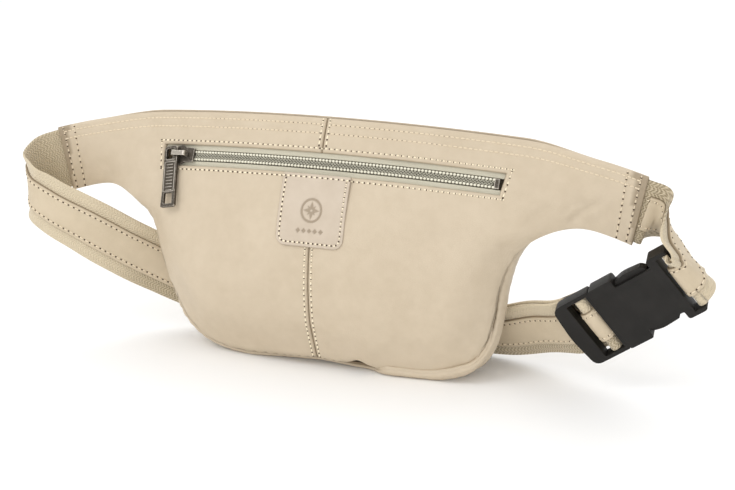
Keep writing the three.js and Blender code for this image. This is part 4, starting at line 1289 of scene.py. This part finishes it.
@dataclass
class Zip:
    """Tapes, coil, stops, slider and puller."""

    shape: BagShape
    wardrobe: Wardrobe
    sewing: Sewing
    tape_width: float = 14.0
    tape_thickness: float = 0.8
    coil_width: float = 3.1
    coil_height: float = 2.1
    link_pitch: float = 2.1
    slider_inset: float = 15.85
    slider_length: float = 15.5

    def build(self) -> None:
        """Builds the zip's pieces."""
        self.half = self.shape.window / 2
        self.front = -self.shape.leather - self.shape.gap
        self.coil_back = self.front - 1.1
        self.coil_front = self.coil_back + self.coil_height
        self.slider_x = -self.half + self.slider_inset
        for name, side in (("upper", 1), ("lower", -1)):
            self.tape(name, side)
            self.links(name, side)
        for node in ("zip_top_stop_upper", "zip_top_stop_lower", "zip_bottom_stop"):
            bevelled_copy(node, f"{node}_metal", 0.3, self.wardrobe.metal, Body.BAG, Slot.METAL)
        bevelled_copy("zip_slider_body", "slider_metal", 0.32, self.wardrobe.metal, Body.SLIDER, Slot.METAL)
        bevelled_copy("zip_slider_bridge", "slider_bridge_metal", 0.45, self.wardrobe.metal, Body.SLIDER,
                      Slot.METAL)
        bevelled_copy("zip_puller", "puller_metal", 0.35, self.wardrobe.metal, Body.PULLER, Slot.METAL)
        self.puller_relief()

    def tape(self, name: str, side: int) -> None:
        """Builds one woven tape with its raised inner edge."""
        inner = 0.1 + self.coil_width + self.shape.gap
        across = inner + np.array([0, 0.15, 0.5, 1.0, 1.5, 2.4, 4, 6, 8, 10,
                                   self.tape_width - self.coil_width])
        rise = np.array([0.0, 0.25, 0.4, 0.35, 0.1, 0, 0, 0, 0, 0, 0]) * 0.6
        reach = self.half + 4
        x = np.linspace(-reach, reach, 160)
        outer = self.shape.zip_point(x[:, None], side * across[None, :], self.front + rise[None, :] - 0.02)
        back = self.shape.zip_point(x[:, None], side * across[None, :], self.front - self.tape_thickness)
        present = np.ones((len(x) - 1, len(across) - 1), bool)
        points, faces, _ = thick_grid(outer, back, present, 0.05)
        piece = make_object(f"zip_tape_cloth_{name}", points, faces, self.wardrobe.tape)
        map_strip(piece, lambda p: self.unroll(p))
        settle(piece, Body.BAG, Slot.TAPE, f"zip_tape_{name}")

    def unroll(self, points: Grid) -> Grid:
        """Returns the distance along and across the zip of points in millimetres."""
        rel = points - self.shape.centre
        across = rel @ self.shape.axis
        face = np.array([0.0, -math.cos(self.shape.lean), math.sin(self.shape.lean)])
        angle = np.arctan2(rel[:, 0], rel @ face)
        return np.stack([angle * self.shape.zip_radius, across], -1)

    def links(self, name: str, side: int) -> None:
        """Builds one side's coil loops, the thread that holds them, and a dark sheet under them as painted
        shade.
        """
        start = self.slider_x + self.slider_length / 2 - 1.4
        end = self.half - 5.6
        x = np.linspace(start, end, 300)
        shift = self.link_pitch / 2 if side > 0 else 0.0
        steps = np.arange(start + 0.7 + shift, end - 0.5, self.link_pitch)
        lines = []
        for at in steps:
            for near, far, lean in ((0.1, 1.55, 0.75), (1.3, 0.25, 0.8)):
                base = at if near < far else at + self.link_pitch / 2
                out = self.coil_front - np.array([0.72, 0.62])
                lines.append(self.shape.zip_point(base + np.array([0.0, lean]), side * np.array([near, far]),
                                                  out))
        coil = self.tubes(f"zip_coil_loops_{name}", lines, 0.36, self.wardrobe.coil)
        settle(coil, Body.BAG, Slot.COIL, f"zip_coil_{name}")
        line = self.shape.zip_point(x, side * 2.3, self.coil_front - 0.5)
        beads = self.sewing.row(f"zip_coil_crowns_{name}", [line], self.link_pitch, 0.5 + shift, 0.82, 0.92,
                                self.wardrobe.coil_thread)
        settle(beads, Body.BAG, Slot.COIL)
        # A dark sheet under the loops, as painted shade between them and along the chain's edges.
        across = side * np.array([0.02, 0.3, 1.0, 2.0, 2.9, 3.15])
        depth = np.array([1.15, 1.0, 0.98, 0.98, 1.0, 1.2])
        outer = self.shape.zip_point(x[:, None], across[None, :], self.coil_front - depth[None, :])
        back = self.shape.zip_point(x[:, None], across[None, :], self.coil_back)
        present = np.ones((len(x) - 1, len(across) - 1), bool)
        points, faces, _ = thick_grid(outer, back, present, 0.05)
        shade_sheet = make_object(f"zip_coil_cord_{name}", points, faces, self.wardrobe.coil_shade)
        settle(shade_sheet, Body.BAG, Slot.COIL)

    def tubes(self, name: str, lines: Sequence[Grid], radius: float,
              finish: bpy.types.Material) -> bpy.types.Object:
        """Joins short round bars, one for each pair of points."""
        points, faces, count = [], [], 6
        for first, last in lines:
            along = (last - first) / np.linalg.norm(last - first)
            one = np.cross(along, [0.3, -0.8, 0.5])
            one /= np.linalg.norm(one)
            two = np.cross(along, one)
            base = len(points)
            for place, size in ((first - along * radius * 0.6, 0.55), (first, 1.0), (last, 1.0),
                                (last + along * radius * 0.6, 0.55)):
                for k in range(count):
                    turn = 2 * math.pi * k / count
                    points.append(place + (one * math.cos(turn) + two * math.sin(turn)) * radius * size)
            for ring in range(3):
                for k in range(count):
                    a, b = base + ring * count + k, base + ring * count + (k + 1) % count
                    faces.append((a, b, b + count, a + count))
            faces.append(tuple(base + k for k in range(count))[::-1])
            faces.append(tuple(base + 3 * count + k for k in range(count)))
        return make_object(name, np.array(points), faces, finish)

    def puller_relief(self) -> None:
        """Adds the puller's raised frame and cross ridges."""
        axis, rest, lean = -3.85, self.coil_front + 0.3 + 1.3 + 0.95, math.radians(8)
        top = rest + 2.0
        slide = self.shape.zip_matrix(self.slider_x)
        turn = np.array([[math.cos(lean), -math.sin(lean)], [math.sin(lean), math.cos(lean)]])

        def place(x: float, y: float, z: float) -> Grid:
            """Returns a point of the puller in the part's frame."""
            u, v = turn @ np.array([x - axis, y])
            return (slide @ np.array([u + axis, v, z, 1.0]))[:3]

        left, right, high, low = axis - 7.9, axis - 0.1, -5.2, -24.2
        ridges = [((left + 1.6, high - 1.8 - 2.05 * k),
                   (right - 1.6, high - 1.8 - 2.05 * k)) for k in range(9)]
        border = [((left, high), (left - 0.1, low)), ((right, high), (right - 0.1, low)),
                  ((left, high), (right, high)), ((left, low), (right, low))]
        for name, bars, radius in (("puller_ridges", ridges, 0.3), ("puller_frame", border, 0.3)):
            lines = [np.array([place(*a, top - 0.02), place(*b, top - 0.02)]) for a, b in bars]
            piece = self.tubes(name, lines, radius, self.wardrobe.metal)
            set_attribute(piece, "wear", np.full(len(piece.data.vertices), 0.75))
            settle(piece, Body.PULLER, Slot.METAL)


def map_strip(piece: bpy.types.Object, unroll: Callable[[Grid], Grid]) -> None:
    """Gives a piece a map in metres along and across it."""
    mesh = piece.data
    co = np.zeros(len(mesh.vertices) * 3, np.float32)
    mesh.vertices.foreach_get("co", co)
    flat = unroll(co.reshape(-1, 3) / MM) * MM
    layer = mesh.uv_layers.new(name="strip")
    loops = np.zeros(len(mesh.loops), np.int32)
    mesh.loops.foreach_get("vertex_index", loops)
    layer.data.foreach_set("uv", flat[loops].astype(np.float32).ravel())


def bevelled_copy(node: str, name: str, width: float, finish: bpy.types.Material, body: Body, slot: Slot,
                  segments: int = 3) -> bpy.types.Object:
    """Copies a CAD node with its loose triangles merged and its edges rounded.

    Args:
        node: The CAD node.
        name: The new piece's name.
        width: The rounding's width in millimetres.
        finish: Its material.
        body: The body it rides on.
        slot: Its material slot; not used.
        segments: The rounding's parts.

    Returns:
        The piece.
    """
    work = bmesh.new()
    work.from_mesh(frame["nodes"][node].data)
    bmesh.ops.remove_doubles(work, verts=work.verts, dist=2e-6)
    bmesh.ops.dissolve_limit(work, angle_limit=math.radians(1.0), verts=work.verts, edges=work.edges)
    bmesh.ops.recalc_face_normals(work, faces=work.faces)
    mesh = bpy.data.meshes.new(name)
    work.to_mesh(mesh)
    work.free()
    mesh.materials.clear()
    mesh.materials.append(finish)
    piece = bpy.data.objects.new(name, mesh)
    bpy.context.scene.collection.objects.link(piece)
    bevel = piece.modifiers.new("edges", "BEVEL")
    bevel.width = width * MM
    bevel.segments = segments
    bevel.limit_method = "ANGLE"
    bevel.angle_limit = math.radians(28)
    bevel.use_clamp_overlap = True
    bevel.harden_normals = False
    apply_modifiers(piece)
    work = bmesh.new()
    work.from_mesh(piece.data)
    bmesh.ops.triangulate(work, faces=[f for f in work.faces if len(f.verts) > 4])
    if finish.name.startswith("antique"):
        for _ in range(4):
            long = [e for e in work.edges if e.calc_length() > 0.9 * MM]
            bmesh.ops.subdivide_edges(work, edges=long, cuts=1)
            bmesh.ops.triangulate(work, faces=[f for f in work.faces if len(f.verts) > 4])
    work.verts.ensure_lookup_table()
    base = 0.55 if "bridge" in node else 0.0
    wear = [min(1.0, base + sum(max(0.0, e.calc_face_angle_signed(0.0)) for e in v.link_edges) / 1.1)
            for v in work.verts]
    work.to_mesh(piece.data)
    work.free()
    set_attribute(piece, "wear", np.array(wear))
    piece.data.polygons.foreach_set("use_smooth", [True] * len(piece.data.polygons))
    piece.data.set_sharp_from_angle(angle=math.radians(40))
    return settle(piece, body, slot, node)


# ---- Belt -----------------------------------------------------------------------------------------


def centripetal(points: Sequence[Grid], count: int) -> Grid:
    """Returns a centripetal Catmull-Rom curve's points."""
    p = [np.asarray(q, float) for q in points]
    last = len(p) - 1
    out = []
    for k in range(count + 1):
        t = last * k / count
        i = min(int(t), last - 1)
        w = t - i
        a = p[i - 1] if i > 0 else 2 * p[0] - p[1]
        b, c = p[i], p[i + 1]
        d = p[i + 2] if i + 2 <= last else 2 * p[last] - p[last - 1]
        gaps = [float(np.sum((v - u) ** 2)) ** 0.25 for u, v in ((a, b), (b, c), (c, d))]
        mid = gaps[1] if gaps[1] > 1e-4 else 1.0
        first = gaps[0] if gaps[0] > 1e-4 else mid
        third = gaps[2] if gaps[2] > 1e-4 else mid
        t1 = ((b - a) / first - (c - a) / (first + mid) + (c - b) / mid) * mid
        t2 = ((c - b) / mid - (d - b) / (mid + third) + (d - c) / third) * mid
        out.append((2 * b - 2 * c + t1 + t2) * w ** 3 + (-3 * b + 3 * c - 2 * t1 - t2) * w ** 2 + t1 * w + b)
    return np.array(out)


@dataclass
class Buckle:
    """The side-release buckle: its axes, and its four moulded parts."""

    wardrobe: Wardrobe
    length: float = 80.0
    width: float = 44.0
    thickness: float = 10.0
    centre: tuple[float, float, float] = (186.3, 5.0, 55.8)
    pitch: float = math.radians(35.4)
    yaw: float = math.radians(-3.9)
    roll: float = math.radians(15.5)
    bar_half: float = 1.5

    def __post_init__(self) -> None:
        """Works out the buckle's axes."""
        c = math.cos
        n = math.sin
        self.u = np.array([c(self.pitch) * c(self.yaw), c(self.pitch) * n(self.yaw), n(self.pitch)])
        level = np.array([n(self.yaw), -c(self.yaw), 0.0])
        self.w = level * c(self.roll) + np.cross(self.u, level) * n(self.roll)
        self.v = np.cross(self.w, self.u)

    def at(self, u: float, v: float, w: float) -> Grid:
        """Returns a point given in the buckle's axes."""
        return np.array(self.centre) + self.u * u + self.v * v + self.w * w

    def build(self) -> None:
        """Builds the moulded parts and their ribs."""
        plastic = self.wardrobe.plastic
        bevelled_copy("buckle_male_frame", "buckle_male_plastic", 0.9, plastic, Body.BAG, Slot.PLASTIC, 4)
        bevelled_copy("buckle_arm_upper", "buckle_arm_upper_plastic", 0.7, plastic, Body.UPPER_ARM,
                      Slot.PLASTIC, 4)
        bevelled_copy("buckle_arm_lower", "buckle_arm_lower_plastic", 0.7, plastic, Body.LOWER_ARM,
                      Slot.PLASTIC, 4)
        bevelled_copy("buckle_female_body", "buckle_female_plastic", 0.8, plastic, Body.FEMALE, Slot.PLASTIC,
                      4)
        for name, side, body in (("upper", 1, Body.UPPER_ARM), ("lower", -1, Body.LOWER_ARM)):
            self.grip(name, side, body)

    def grip(self, name: str, side: int, body: Body) -> None:
        """Builds the raised grip ribs on an arm's outer side."""
        edge = self.width / 2 - 2.2
        points, faces = [], []
        for k in range(6):
            u = 10.5 + 2.1 * k
            base = len(points)
            for depth in (-2.5, 2.5):
                for du, dv in ((-0.75, -0.9), (-0.4, -0.1), (0.4, -0.1), (0.75, -0.9)):
                    points.append(self.at(u + du, side * (edge + dv), depth))
            faces += [(base + i, base + (i + 1) % 4, base + 4 + (i + 1) % 4, base + 4 + i) for i in range(4)]
            faces += [(base + 3, base + 2, base + 1, base), (base + 4, base + 5, base + 6, base + 7)]
        piece = make_object(f"buckle_grip_{name}", np.array(points), faces, self.wardrobe.plastic, False)
        settle(piece, body, Slot.PLASTIC)


@dataclass
class Route:
    """Square cuts through a belt: its place, its direction, across it and out of its face."""

    place: Grid
    up: Grid

    def __post_init__(self) -> None:
        """Works out the directions."""
        p = self.place
        ahead = np.concatenate([p[1:], p[-1:]])
        behind = np.concatenate([p[:1], p[:-1]])
        self.along = ahead - behind
        self.along /= np.linalg.norm(self.along, axis=1, keepdims=True)
        self.across = self.up - self.along * np.sum(self.up * self.along, 1, keepdims=True)
        self.across /= np.linalg.norm(self.across, axis=1, keepdims=True)
        self.face = np.cross(self.along, self.across)
        self.run = np.concatenate([[0], np.cumsum(np.linalg.norm(np.diff(p, axis=0), axis=1))])

    def cut(self, first: int, last: int) -> "Route":
        """Returns a stretch of the route with its own directions kept."""
        part = Route(self.place[first:last], self.up[first:last])
        part.along, part.across = self.along[first:last], self.across[first:last]
        part.face, part.run = self.face[first:last], self.run[first:last]
        return part

    def point(self, side: Grid | float, depth: Grid | float) -> Grid:
        """Returns points beside the centre line."""
        side = np.broadcast_to(side, len(self.place))[:, None]
        depth = np.broadcast_to(depth, len(self.place))[:, None]
        return self.place + self.across * side + self.face * depth


@dataclass
class Belt:
    """The two straps: webbing, the leather strips sewn on them, and their stitches."""

    shape: BagShape
    buckle: Buckle
    wardrobe: Wardrobe
    sewing: Sewing
    width: float = 38.0
    thick: float = 1.6
    strip: float = 21.0
    strip_thick: float = 1.4
    main_depth: float = -7.0
    tail_depth: float = -9.9
    bend: float = 4.5
    fine: int = 3  # finer steps than the CAD's route
    inner_start: int = 12  # coarse steps from the wing to where the long inner strip starts
    inner_end: int = 4  # coarse steps left bare at the tail
    outer_start: int = 34  # coarse steps to where the long outer strip starts
    outer_end: int = 56  # coarse steps to where it ends
    wrap_start: int = 4  # fine steps to where the short inner strip starts
    turn_start: int = 72  # fine steps to where the short outer strip starts
    wing_end: int = 15  # coarse steps of the short strap under the wing

    def build(self) -> None:
        """Builds both straps."""
        self.layer = self.thick / 2 + 0.3
        self.loop = self.buckle.bar_half + 0.5 + self.thick / 2
        self.left()
        self.right()

    def stretch(self, stations: Sequence[tuple[Grid, Grid]], steps: int) -> tuple[Grid, Grid]:
        """Returns a smooth free stretch of belt."""
        place = centripetal([p for p, _ in stations], steps)
        up = centripetal([d for _, d in stations], steps)
        return place, up / np.linalg.norm(up, axis=1, keepdims=True)

    def bent(self, u: float, w: float, heading: float,
             moves: Sequence[float | tuple[float, float]]) -> tuple[Grid, Grid]:
        """Returns a stretch bent in the buckle's own section.

        Args:
            u: Where it starts along the buckle.
            w: Where it starts through the buckle.
            heading: Its first direction.
            moves: Straight lengths, or (radius, turn) bends.

        Returns:
            The places and the across directions.
        """
        route = [(u, w)]
        angle = heading
        for move in moves:
            if isinstance(move, float):
                u, w = u + move * math.cos(angle), w + move * math.sin(angle)
                route.append((u, w))
                continue
            radius, turn = move
            parts = max(3, math.ceil(abs(turn) / 0.2))
            for _ in range(parts):
                half = turn / parts / 2
                chord = 2 * radius * math.sin(abs(half))
                angle += half
                u, w = u + chord * math.cos(angle), w + chord * math.sin(angle)
                angle += half
                route.append((u, w))
        place = np.array([self.buckle.at(a, 0, b) for a, b in route])
        return place, np.tile(self.buckle.v, (len(route), 1))

    def left(self) -> None:
        """Builds the long strap, from the left wing round behind the bag to the male half and back."""
        b, mid = self.buckle, self.shape.wing_middle_point
        up = np.array([0.0, 0.0, 1.0])
        start = -21.5 - self.loop - self.bend
        stations = [
            (mid(-172), up), (mid(-182), up), (mid(-191), up),
            (vector(-200.5, 14.3, 105.5), up), (vector(-205, 3, 99), up),
            (vector(-199, -7, 92.5), up), (vector(-184, -10, 84.5), up),
            (vector(-163, -6.5, 73.5), up), (vector(-142, 4.5, 58), up),
            (vector(-121, 18.5, 42.5), up), (vector(-96, 28.4, 29), up), (vector(-62, 30, 22), up),
            (vector(0, 30, 19.6), vector(0, -0.1, 1)), (vector(48, 30.5, 19.3), vector(0.02, -0.2, 0.97)),
            (vector(84, 31, 20), vector(-0.05, -0.35, 0.9)),
            (vector(108, 27.6, 22), vector(-0.15, -0.4, 0.88)),
            (vector(131, 20.5, 30), vector(-0.35, -0.33, 0.87)),
            (b.at(-45, 3.5, self.main_depth - 0.8), vector(-0.5, -0.26, 0.82)),
            (b.at(start - 7, 0.8, self.main_depth), b.v),
        ]
        free, free_up = self.stretch(stations, 84 * self.fine)
        quarter = math.pi / 2
        bend, bend_up = self.bent(start, self.main_depth, 0.0, [
            (self.bend, quarter), -self.main_depth - self.bend, (self.loop, -math.pi),
            -self.tail_depth - self.bend, (self.bend, -quarter)])
        whole = Route(free, free_up)
        gap = self.main_depth - self.tail_depth
        tail = whole.cut(58 * self.fine, len(free) - 1 - self.fine)
        tail_place, tail_up = tail.point(0, -gap)[::-1], tail.across[::-1]
        route = Route(np.concatenate([free, bend, tail_place]), np.concatenate([free_up, bend_up, tail_up]))
        count = len(route.place)
        inner = route.cut(self.inner_start * self.fine, count - self.inner_end * self.fine)
        outer = route.cut(self.outer_start * self.fine, self.outer_end * self.fine)
        bow = float(np.interp(-205, *self.first_pass(route)))
        near = float(route.run[12 * self.fine * 2 + 24])
        # The weave attribute: high up to the turn, painted shade with the herringbone on the concave inner
        # face; low on the upper margin; rising on the lower margin towards the bag, where it shows the
        # herringbone and darkens the webbing.
        self.webbing("left_webbing", route, Body.BAG, "left_strap_webbing", lambda run, wide: np.where(
            run < bow, 0.7, np.where(wide > 0, 0.08, 0.08 + 0.8 * smoothstep(run, near + 20, near + 70))))
        self.strap_strip("left_inner_leather", inner, 1, "left_strap_inner_leather", True)
        self.strap_strip("left_outer_leather", outer, -1, "left_strap_outer_leather", False)

    def first_pass(self, route: Route) -> tuple[Grid, Grid]:
        """Returns x, falling, and the distance along the belt, up to its leftmost place."""
        last = int(np.argmin(route.place[:, 0]))
        return route.place[last::-1, 0], route.run[last::-1]

    def right(self) -> None:
        """Builds the short strap, from the female half's bar to the right wing."""
        b, mid = self.buckle, self.shape.wing_middle_point
        up = np.array([0.0, 0.0, 1.0])
        end_bar = b.length / 2 - b.bar_half

        def leaning(x: float, lean: float) -> Grid:
            """Returns an upward direction that leans within the wing's surface."""
            return (mid(x + 1) - mid(x)) * lean + up

        stations = [
            (b.at(end_bar, 0, self.loop), b.v), (b.at(42.6, 0.8, 0.6), vector(-0.56, -0.34, 0.75)),
            (b.at(42.8, 4.5, -3.6), vector(-0.62, -0.36, 0.70)),
            (b.at(40.4, 13.0, -11), vector(-0.46, -0.62, 0.64)),
            (b.at(40, 21.8, -19.3), vector(-0.20, -0.66, 0.72)),
            (vector(198.0, 19.8, 106.2), vector(-0.02, -0.28, 0.96)),
            (mid(192), leaning(192, 0.12)), (mid(184), leaning(184, 0.12)), (mid(173), leaning(173, 0.08)),
        ]
        wrap, wrap_up = self.bent(end_bar + 1.2, -self.loop, math.pi, [1.2, (self.loop, -math.pi)])
        free, free_up = self.stretch(stations, 64 * self.fine)
        route = Route(np.concatenate([wrap, free[1:]]), np.concatenate([wrap_up, free_up[1:]]))
        count = len(route.place)
        self.hinge = (self.buckle.at(end_bar + 1, 0, 0), mid(193))
        turn = float(route.run[count // 2 + 8])
        # The weave attribute rises past the turn, on the concave inner face, where it shows the herringbone
        # with painted shade.
        self.webbing("right_webbing", route, Body.FEMALE, "right_strap_webbing",
                     lambda run, wide: 0.15 + 0.85 * smoothstep(run, turn - 6, turn + 6))
        inner = route.cut(self.wrap_start, count - self.wing_end * self.fine)
        outer = route.cut(self.turn_start, count - self.wing_end * self.fine)
        self.strap_strip("right_inner_leather", inner, 1, "right_strap_inner_leather", True, Body.FEMALE)
        self.strap_strip("right_outer_leather", outer, -1, "right_strap_outer_leather", True, Body.FEMALE)

    def place_piece(self, piece: bpy.types.Object, body: Body, slot: Slot, *replaced: str) -> None:
        """Rides a strap piece on the bag; for any other body it only bakes the piece's transform and hides
        the nodes it stands for.
        """
        if body is Body.BAG:
            settle(piece, body, slot, *replaced)
            return
        start, end = self.hinge[1] * MM, self.hinge[0] * MM
        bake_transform(piece)
        if replaced:
            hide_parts(*replaced)
        LOG.info("%s: %d faces between bag and buckle", piece.name, len(piece.data.polygons))

    def band(self, name: str, route: Route, sides: Grid, outer: Grid, inner: Grid,
             finish: bpy.types.Material,
             crease: Grid | None = None, round_out: float = 0.3) -> bpy.types.Object:
        """Builds a flat band along a route.

        Args:
            name: The piece's name.
            route: Where it runs.
            sides: Distances across it.
            outer: Depth of its outer face at each side.
            inner: Depth of its inner face.
            finish: Its material.
            crease: The painted shade at each side.
            round_out: How far its edges stand out.

        Returns:
            The band.
        """
        top = np.stack([route.point(s, d) for s, d in zip(sides, outer)], 1)
        low = np.stack([route.point(s, d) for s, d in zip(sides, inner)], 1)
        present = np.ones((len(route.place) - 1, len(sides) - 1), bool)
        run = np.broadcast_to(route.run[:, None], top.shape[:2]).copy()
        wide = np.broadcast_to(np.asarray(sides, float)[None, :], top.shape[:2]).copy()
        shade = np.broadcast_to(np.zeros(len(sides)) if crease is None else crease, top.shape[:2]).copy()
        points, faces, kept = thick_grid(top, low, present, round_out,
                                         {"run": run, "wide": wide, "crease": shade})
        piece = make_object(name, points, faces, finish)
        set_attribute(piece, "crease", kept["crease"])
        flat = np.stack([kept["run"], kept["wide"]], -1)
        map_strip(piece, lambda _: flat)
        return piece

    def webbing(self, name: str, route: Route, body: Body, node: str,
                weave: Callable[[Grid, Grid], Grid]) -> None:
        """Builds a strap's webbing with thicker woven edges.

        Args:
            name: The piece's name.
            route: Where it runs.
            body: The body it rides on.
            node: The CAD node it stands for.
            weave: How strongly the herringbone shows and how much painted shade darkens the webbing, from
                the distance along and across the strap.
        """
        half = self.width / 2
        sides = np.array([-half, -half + 0.7, -half + 2, -14, -11, -7, 0, 7, 11, 14, half - 2, half - 0.7,
                          half])
        swell = np.array([-0.15, 0.05, 0, 0, 0, 0, 0, 0, 0, 0, 0, 0.05, -0.15])
        piece = self.band(name, route, sides, self.thick / 2 + swell, -self.thick / 2 - swell,
                          self.wardrobe.webbing)
        uv = np.zeros(len(piece.data.loops) * 2, np.float32)
        piece.data.uv_layers["strip"].data.foreach_get("uv", uv)
        ids = np.zeros(len(piece.data.loops), np.int32)
        piece.data.loops.foreach_get("vertex_index", ids)
        flat = np.zeros((len(piece.data.vertices), 2))
        flat[ids] = uv.reshape(-1, 2) / MM
        # The attribute carries the herringbone's strength and the painted shade.
        set_attribute(piece, "weave", weave(flat[:, 0], flat[:, 1]))
        self.place_piece(piece, body, Slot.WEBBING, node)

    def strap_strip(self, name: str, route: Route, face: int, node: str, sewn: bool,
                    body: Body = Body.BAG) -> None:
        """Builds a leather strip on one face of the webbing, with a row of stitches along each side."""
        half = self.strip / 2
        inset = 2.4
        sides = np.array([-half, -half + 0.25, -half + 0.8, -half + 1.6, -half + inset, -half + 3.2,
                          -half + 5, 0,
                          half - 5, half - 3.2, half - inset, half - 1.6, half - 0.8, half - 0.25, half])
        soft = np.array([-0.45, -0.15, 0, 0, -0.2, 0, 0.12, 0.16, 0.12, 0, -0.2, 0, 0, -0.15, -0.45])
        # Painted shadow along the strip's raised edges, darkest at the rim.
        shade = np.array([0.8, 0.3, 0, 0, 0.05, 0, 0, 0, 0, 0, 0.05, 0, 0, 0.3, 0.8])
        top = self.layer + self.strip_thick + soft
        low = np.full(len(sides), self.layer - 0.28)
        piece = self.band(name, route, sides, face * top, face * low, self.wardrobe.strap_leather, shade,
                          0.25)
        self.place_piece(piece, body, Slot.LEATHER, node)
        if not sewn and face > 0:
            return
        level = face * (self.layer + self.strip_thick - 0.12)
        lines = [route.point(side * (half - inset), level) for side in (-1, 1)]
        for row in self.sewing.stitches(f"{name}_stitches", lines, 3.8, 0.56, True):
            self.place_piece(row, body, Slot.LEATHER)


# ---- Studio ---------------------------------------------------------------------------------------


@dataclass
class Studio:
    """The white floor, the soft lights and the camera."""

    wardrobe: Wardrobe
    target: tuple[float, float, float] = (0.0, -7.0, 94.0)
    azimuth: float = math.radians(20.92)
    elevation: float = math.radians(17.96)
    distance: float = 900.75
    scale: float = 0.6
    aside: float = 29.04
    above: float = -16.34
    roll: float = math.radians(0.63)
    frame_width: int = 735

    def build(self) -> None:
        """Sets the stage."""
        self.floor()
        self.lights()
        self.camera()

    def floor(self) -> None:
        """Builds a floor that curves up far behind the object."""
        reach, back, rise = 2600.0, 1500.0, 1800.0
        turn = [(back + 500 * math.sin(a), 500 - 500 * math.cos(a)) for a in np.linspace(0, math.pi / 2, 12)]
        line = [(-2600.0, 0.0), *turn, (back + 500, rise)]
        points = [(side * reach, y, z) for y, z in line for side in (-1, 1)]
        faces = [(2 * k, 2 * k + 1, 2 * k + 3, 2 * k + 2) for k in range(len(line) - 1)]
        make_object("studio_sweep", np.array(points), faces, self.wardrobe.floor)

    def lights(self) -> None:
        """Adds a broad soft key from the upper left, a fill and an even white surround."""
        world = bpy.data.worlds.new("studio")
        world.use_nodes = True
        world.node_tree.nodes["Background"].inputs[0].default_value = (1.0, 0.995, 0.985, 1.0)
        world.node_tree.nodes["Background"].inputs[1].default_value = 0.96
        bpy.context.scene.world = world
        aim = Vector((0.0, 0.0, 0.06))
        for name, place, power, size in (("key", (-0.75, -0.9, 1.35), 7.0, 0.9),
                                         ("fill", (0.5, -1.5, 0.25), 6.5, 1.4),
                                         ("back", (0.2, 1.1, 1.3), 6.0, 1.2)):
            lamp = bpy.data.lights.new(name, "AREA")
            lamp.energy, lamp.size = power, size
            holder = bpy.data.objects.new(name, lamp)
            holder.location = place
            holder.rotation_euler = (aim - Vector(place)).to_track_quat("-Z", "Y").to_euler()
            bpy.context.scene.collection.objects.link(holder)

    def camera(self) -> None:
        """Places the camera."""
        a, e = self.azimuth, self.elevation
        back = Vector((math.sin(a) * math.cos(e), -math.cos(a) * math.cos(e), math.sin(e)))
        right = Vector((math.cos(a), math.sin(a), 0.0))
        up = back.cross(right)
        place = Vector(self.target) + back * self.distance + right * self.aside + up * self.above
        c, s = math.cos(self.roll), math.sin(self.roll)
        right, up = right * c - up * s, right * s + up * c
        lens = bpy.data.cameras.new("camera")
        lens.sensor_width = 36.0
        lens.lens = self.distance / self.scale / self.frame_width * 36.0
        lens.clip_start, lens.clip_end = 0.05, 20.0
        holder = bpy.data.objects.new("camera", lens)
        turn = Matrix((right, up, back)).transposed().to_4x4()
        holder.matrix_world = Matrix.Translation(place * MM) @ turn
        bpy.context.scene.collection.objects.link(holder)
        bpy.context.scene.camera = holder
        bpy.context.scene.view_settings.view_transform = "Standard"


def main() -> None:
    """Builds the studio, the bag, the zip, the buckle and the belt."""
    logging.basicConfig(level=logging.INFO, format="%(message)s")
    wardrobe = Wardrobe()
    sewing = Sewing(wardrobe)
    shape = BagShape()
    Studio(wardrobe).build()
    BagLeather(shape, wardrobe, sewing).build()
    Zip(shape, wardrobe, sewing).build()
    buckle = Buckle(wardrobe)
    buckle.build()
    Belt(shape, buckle, wardrobe, sewing).build()


if __name__ == "__main__":
    main()
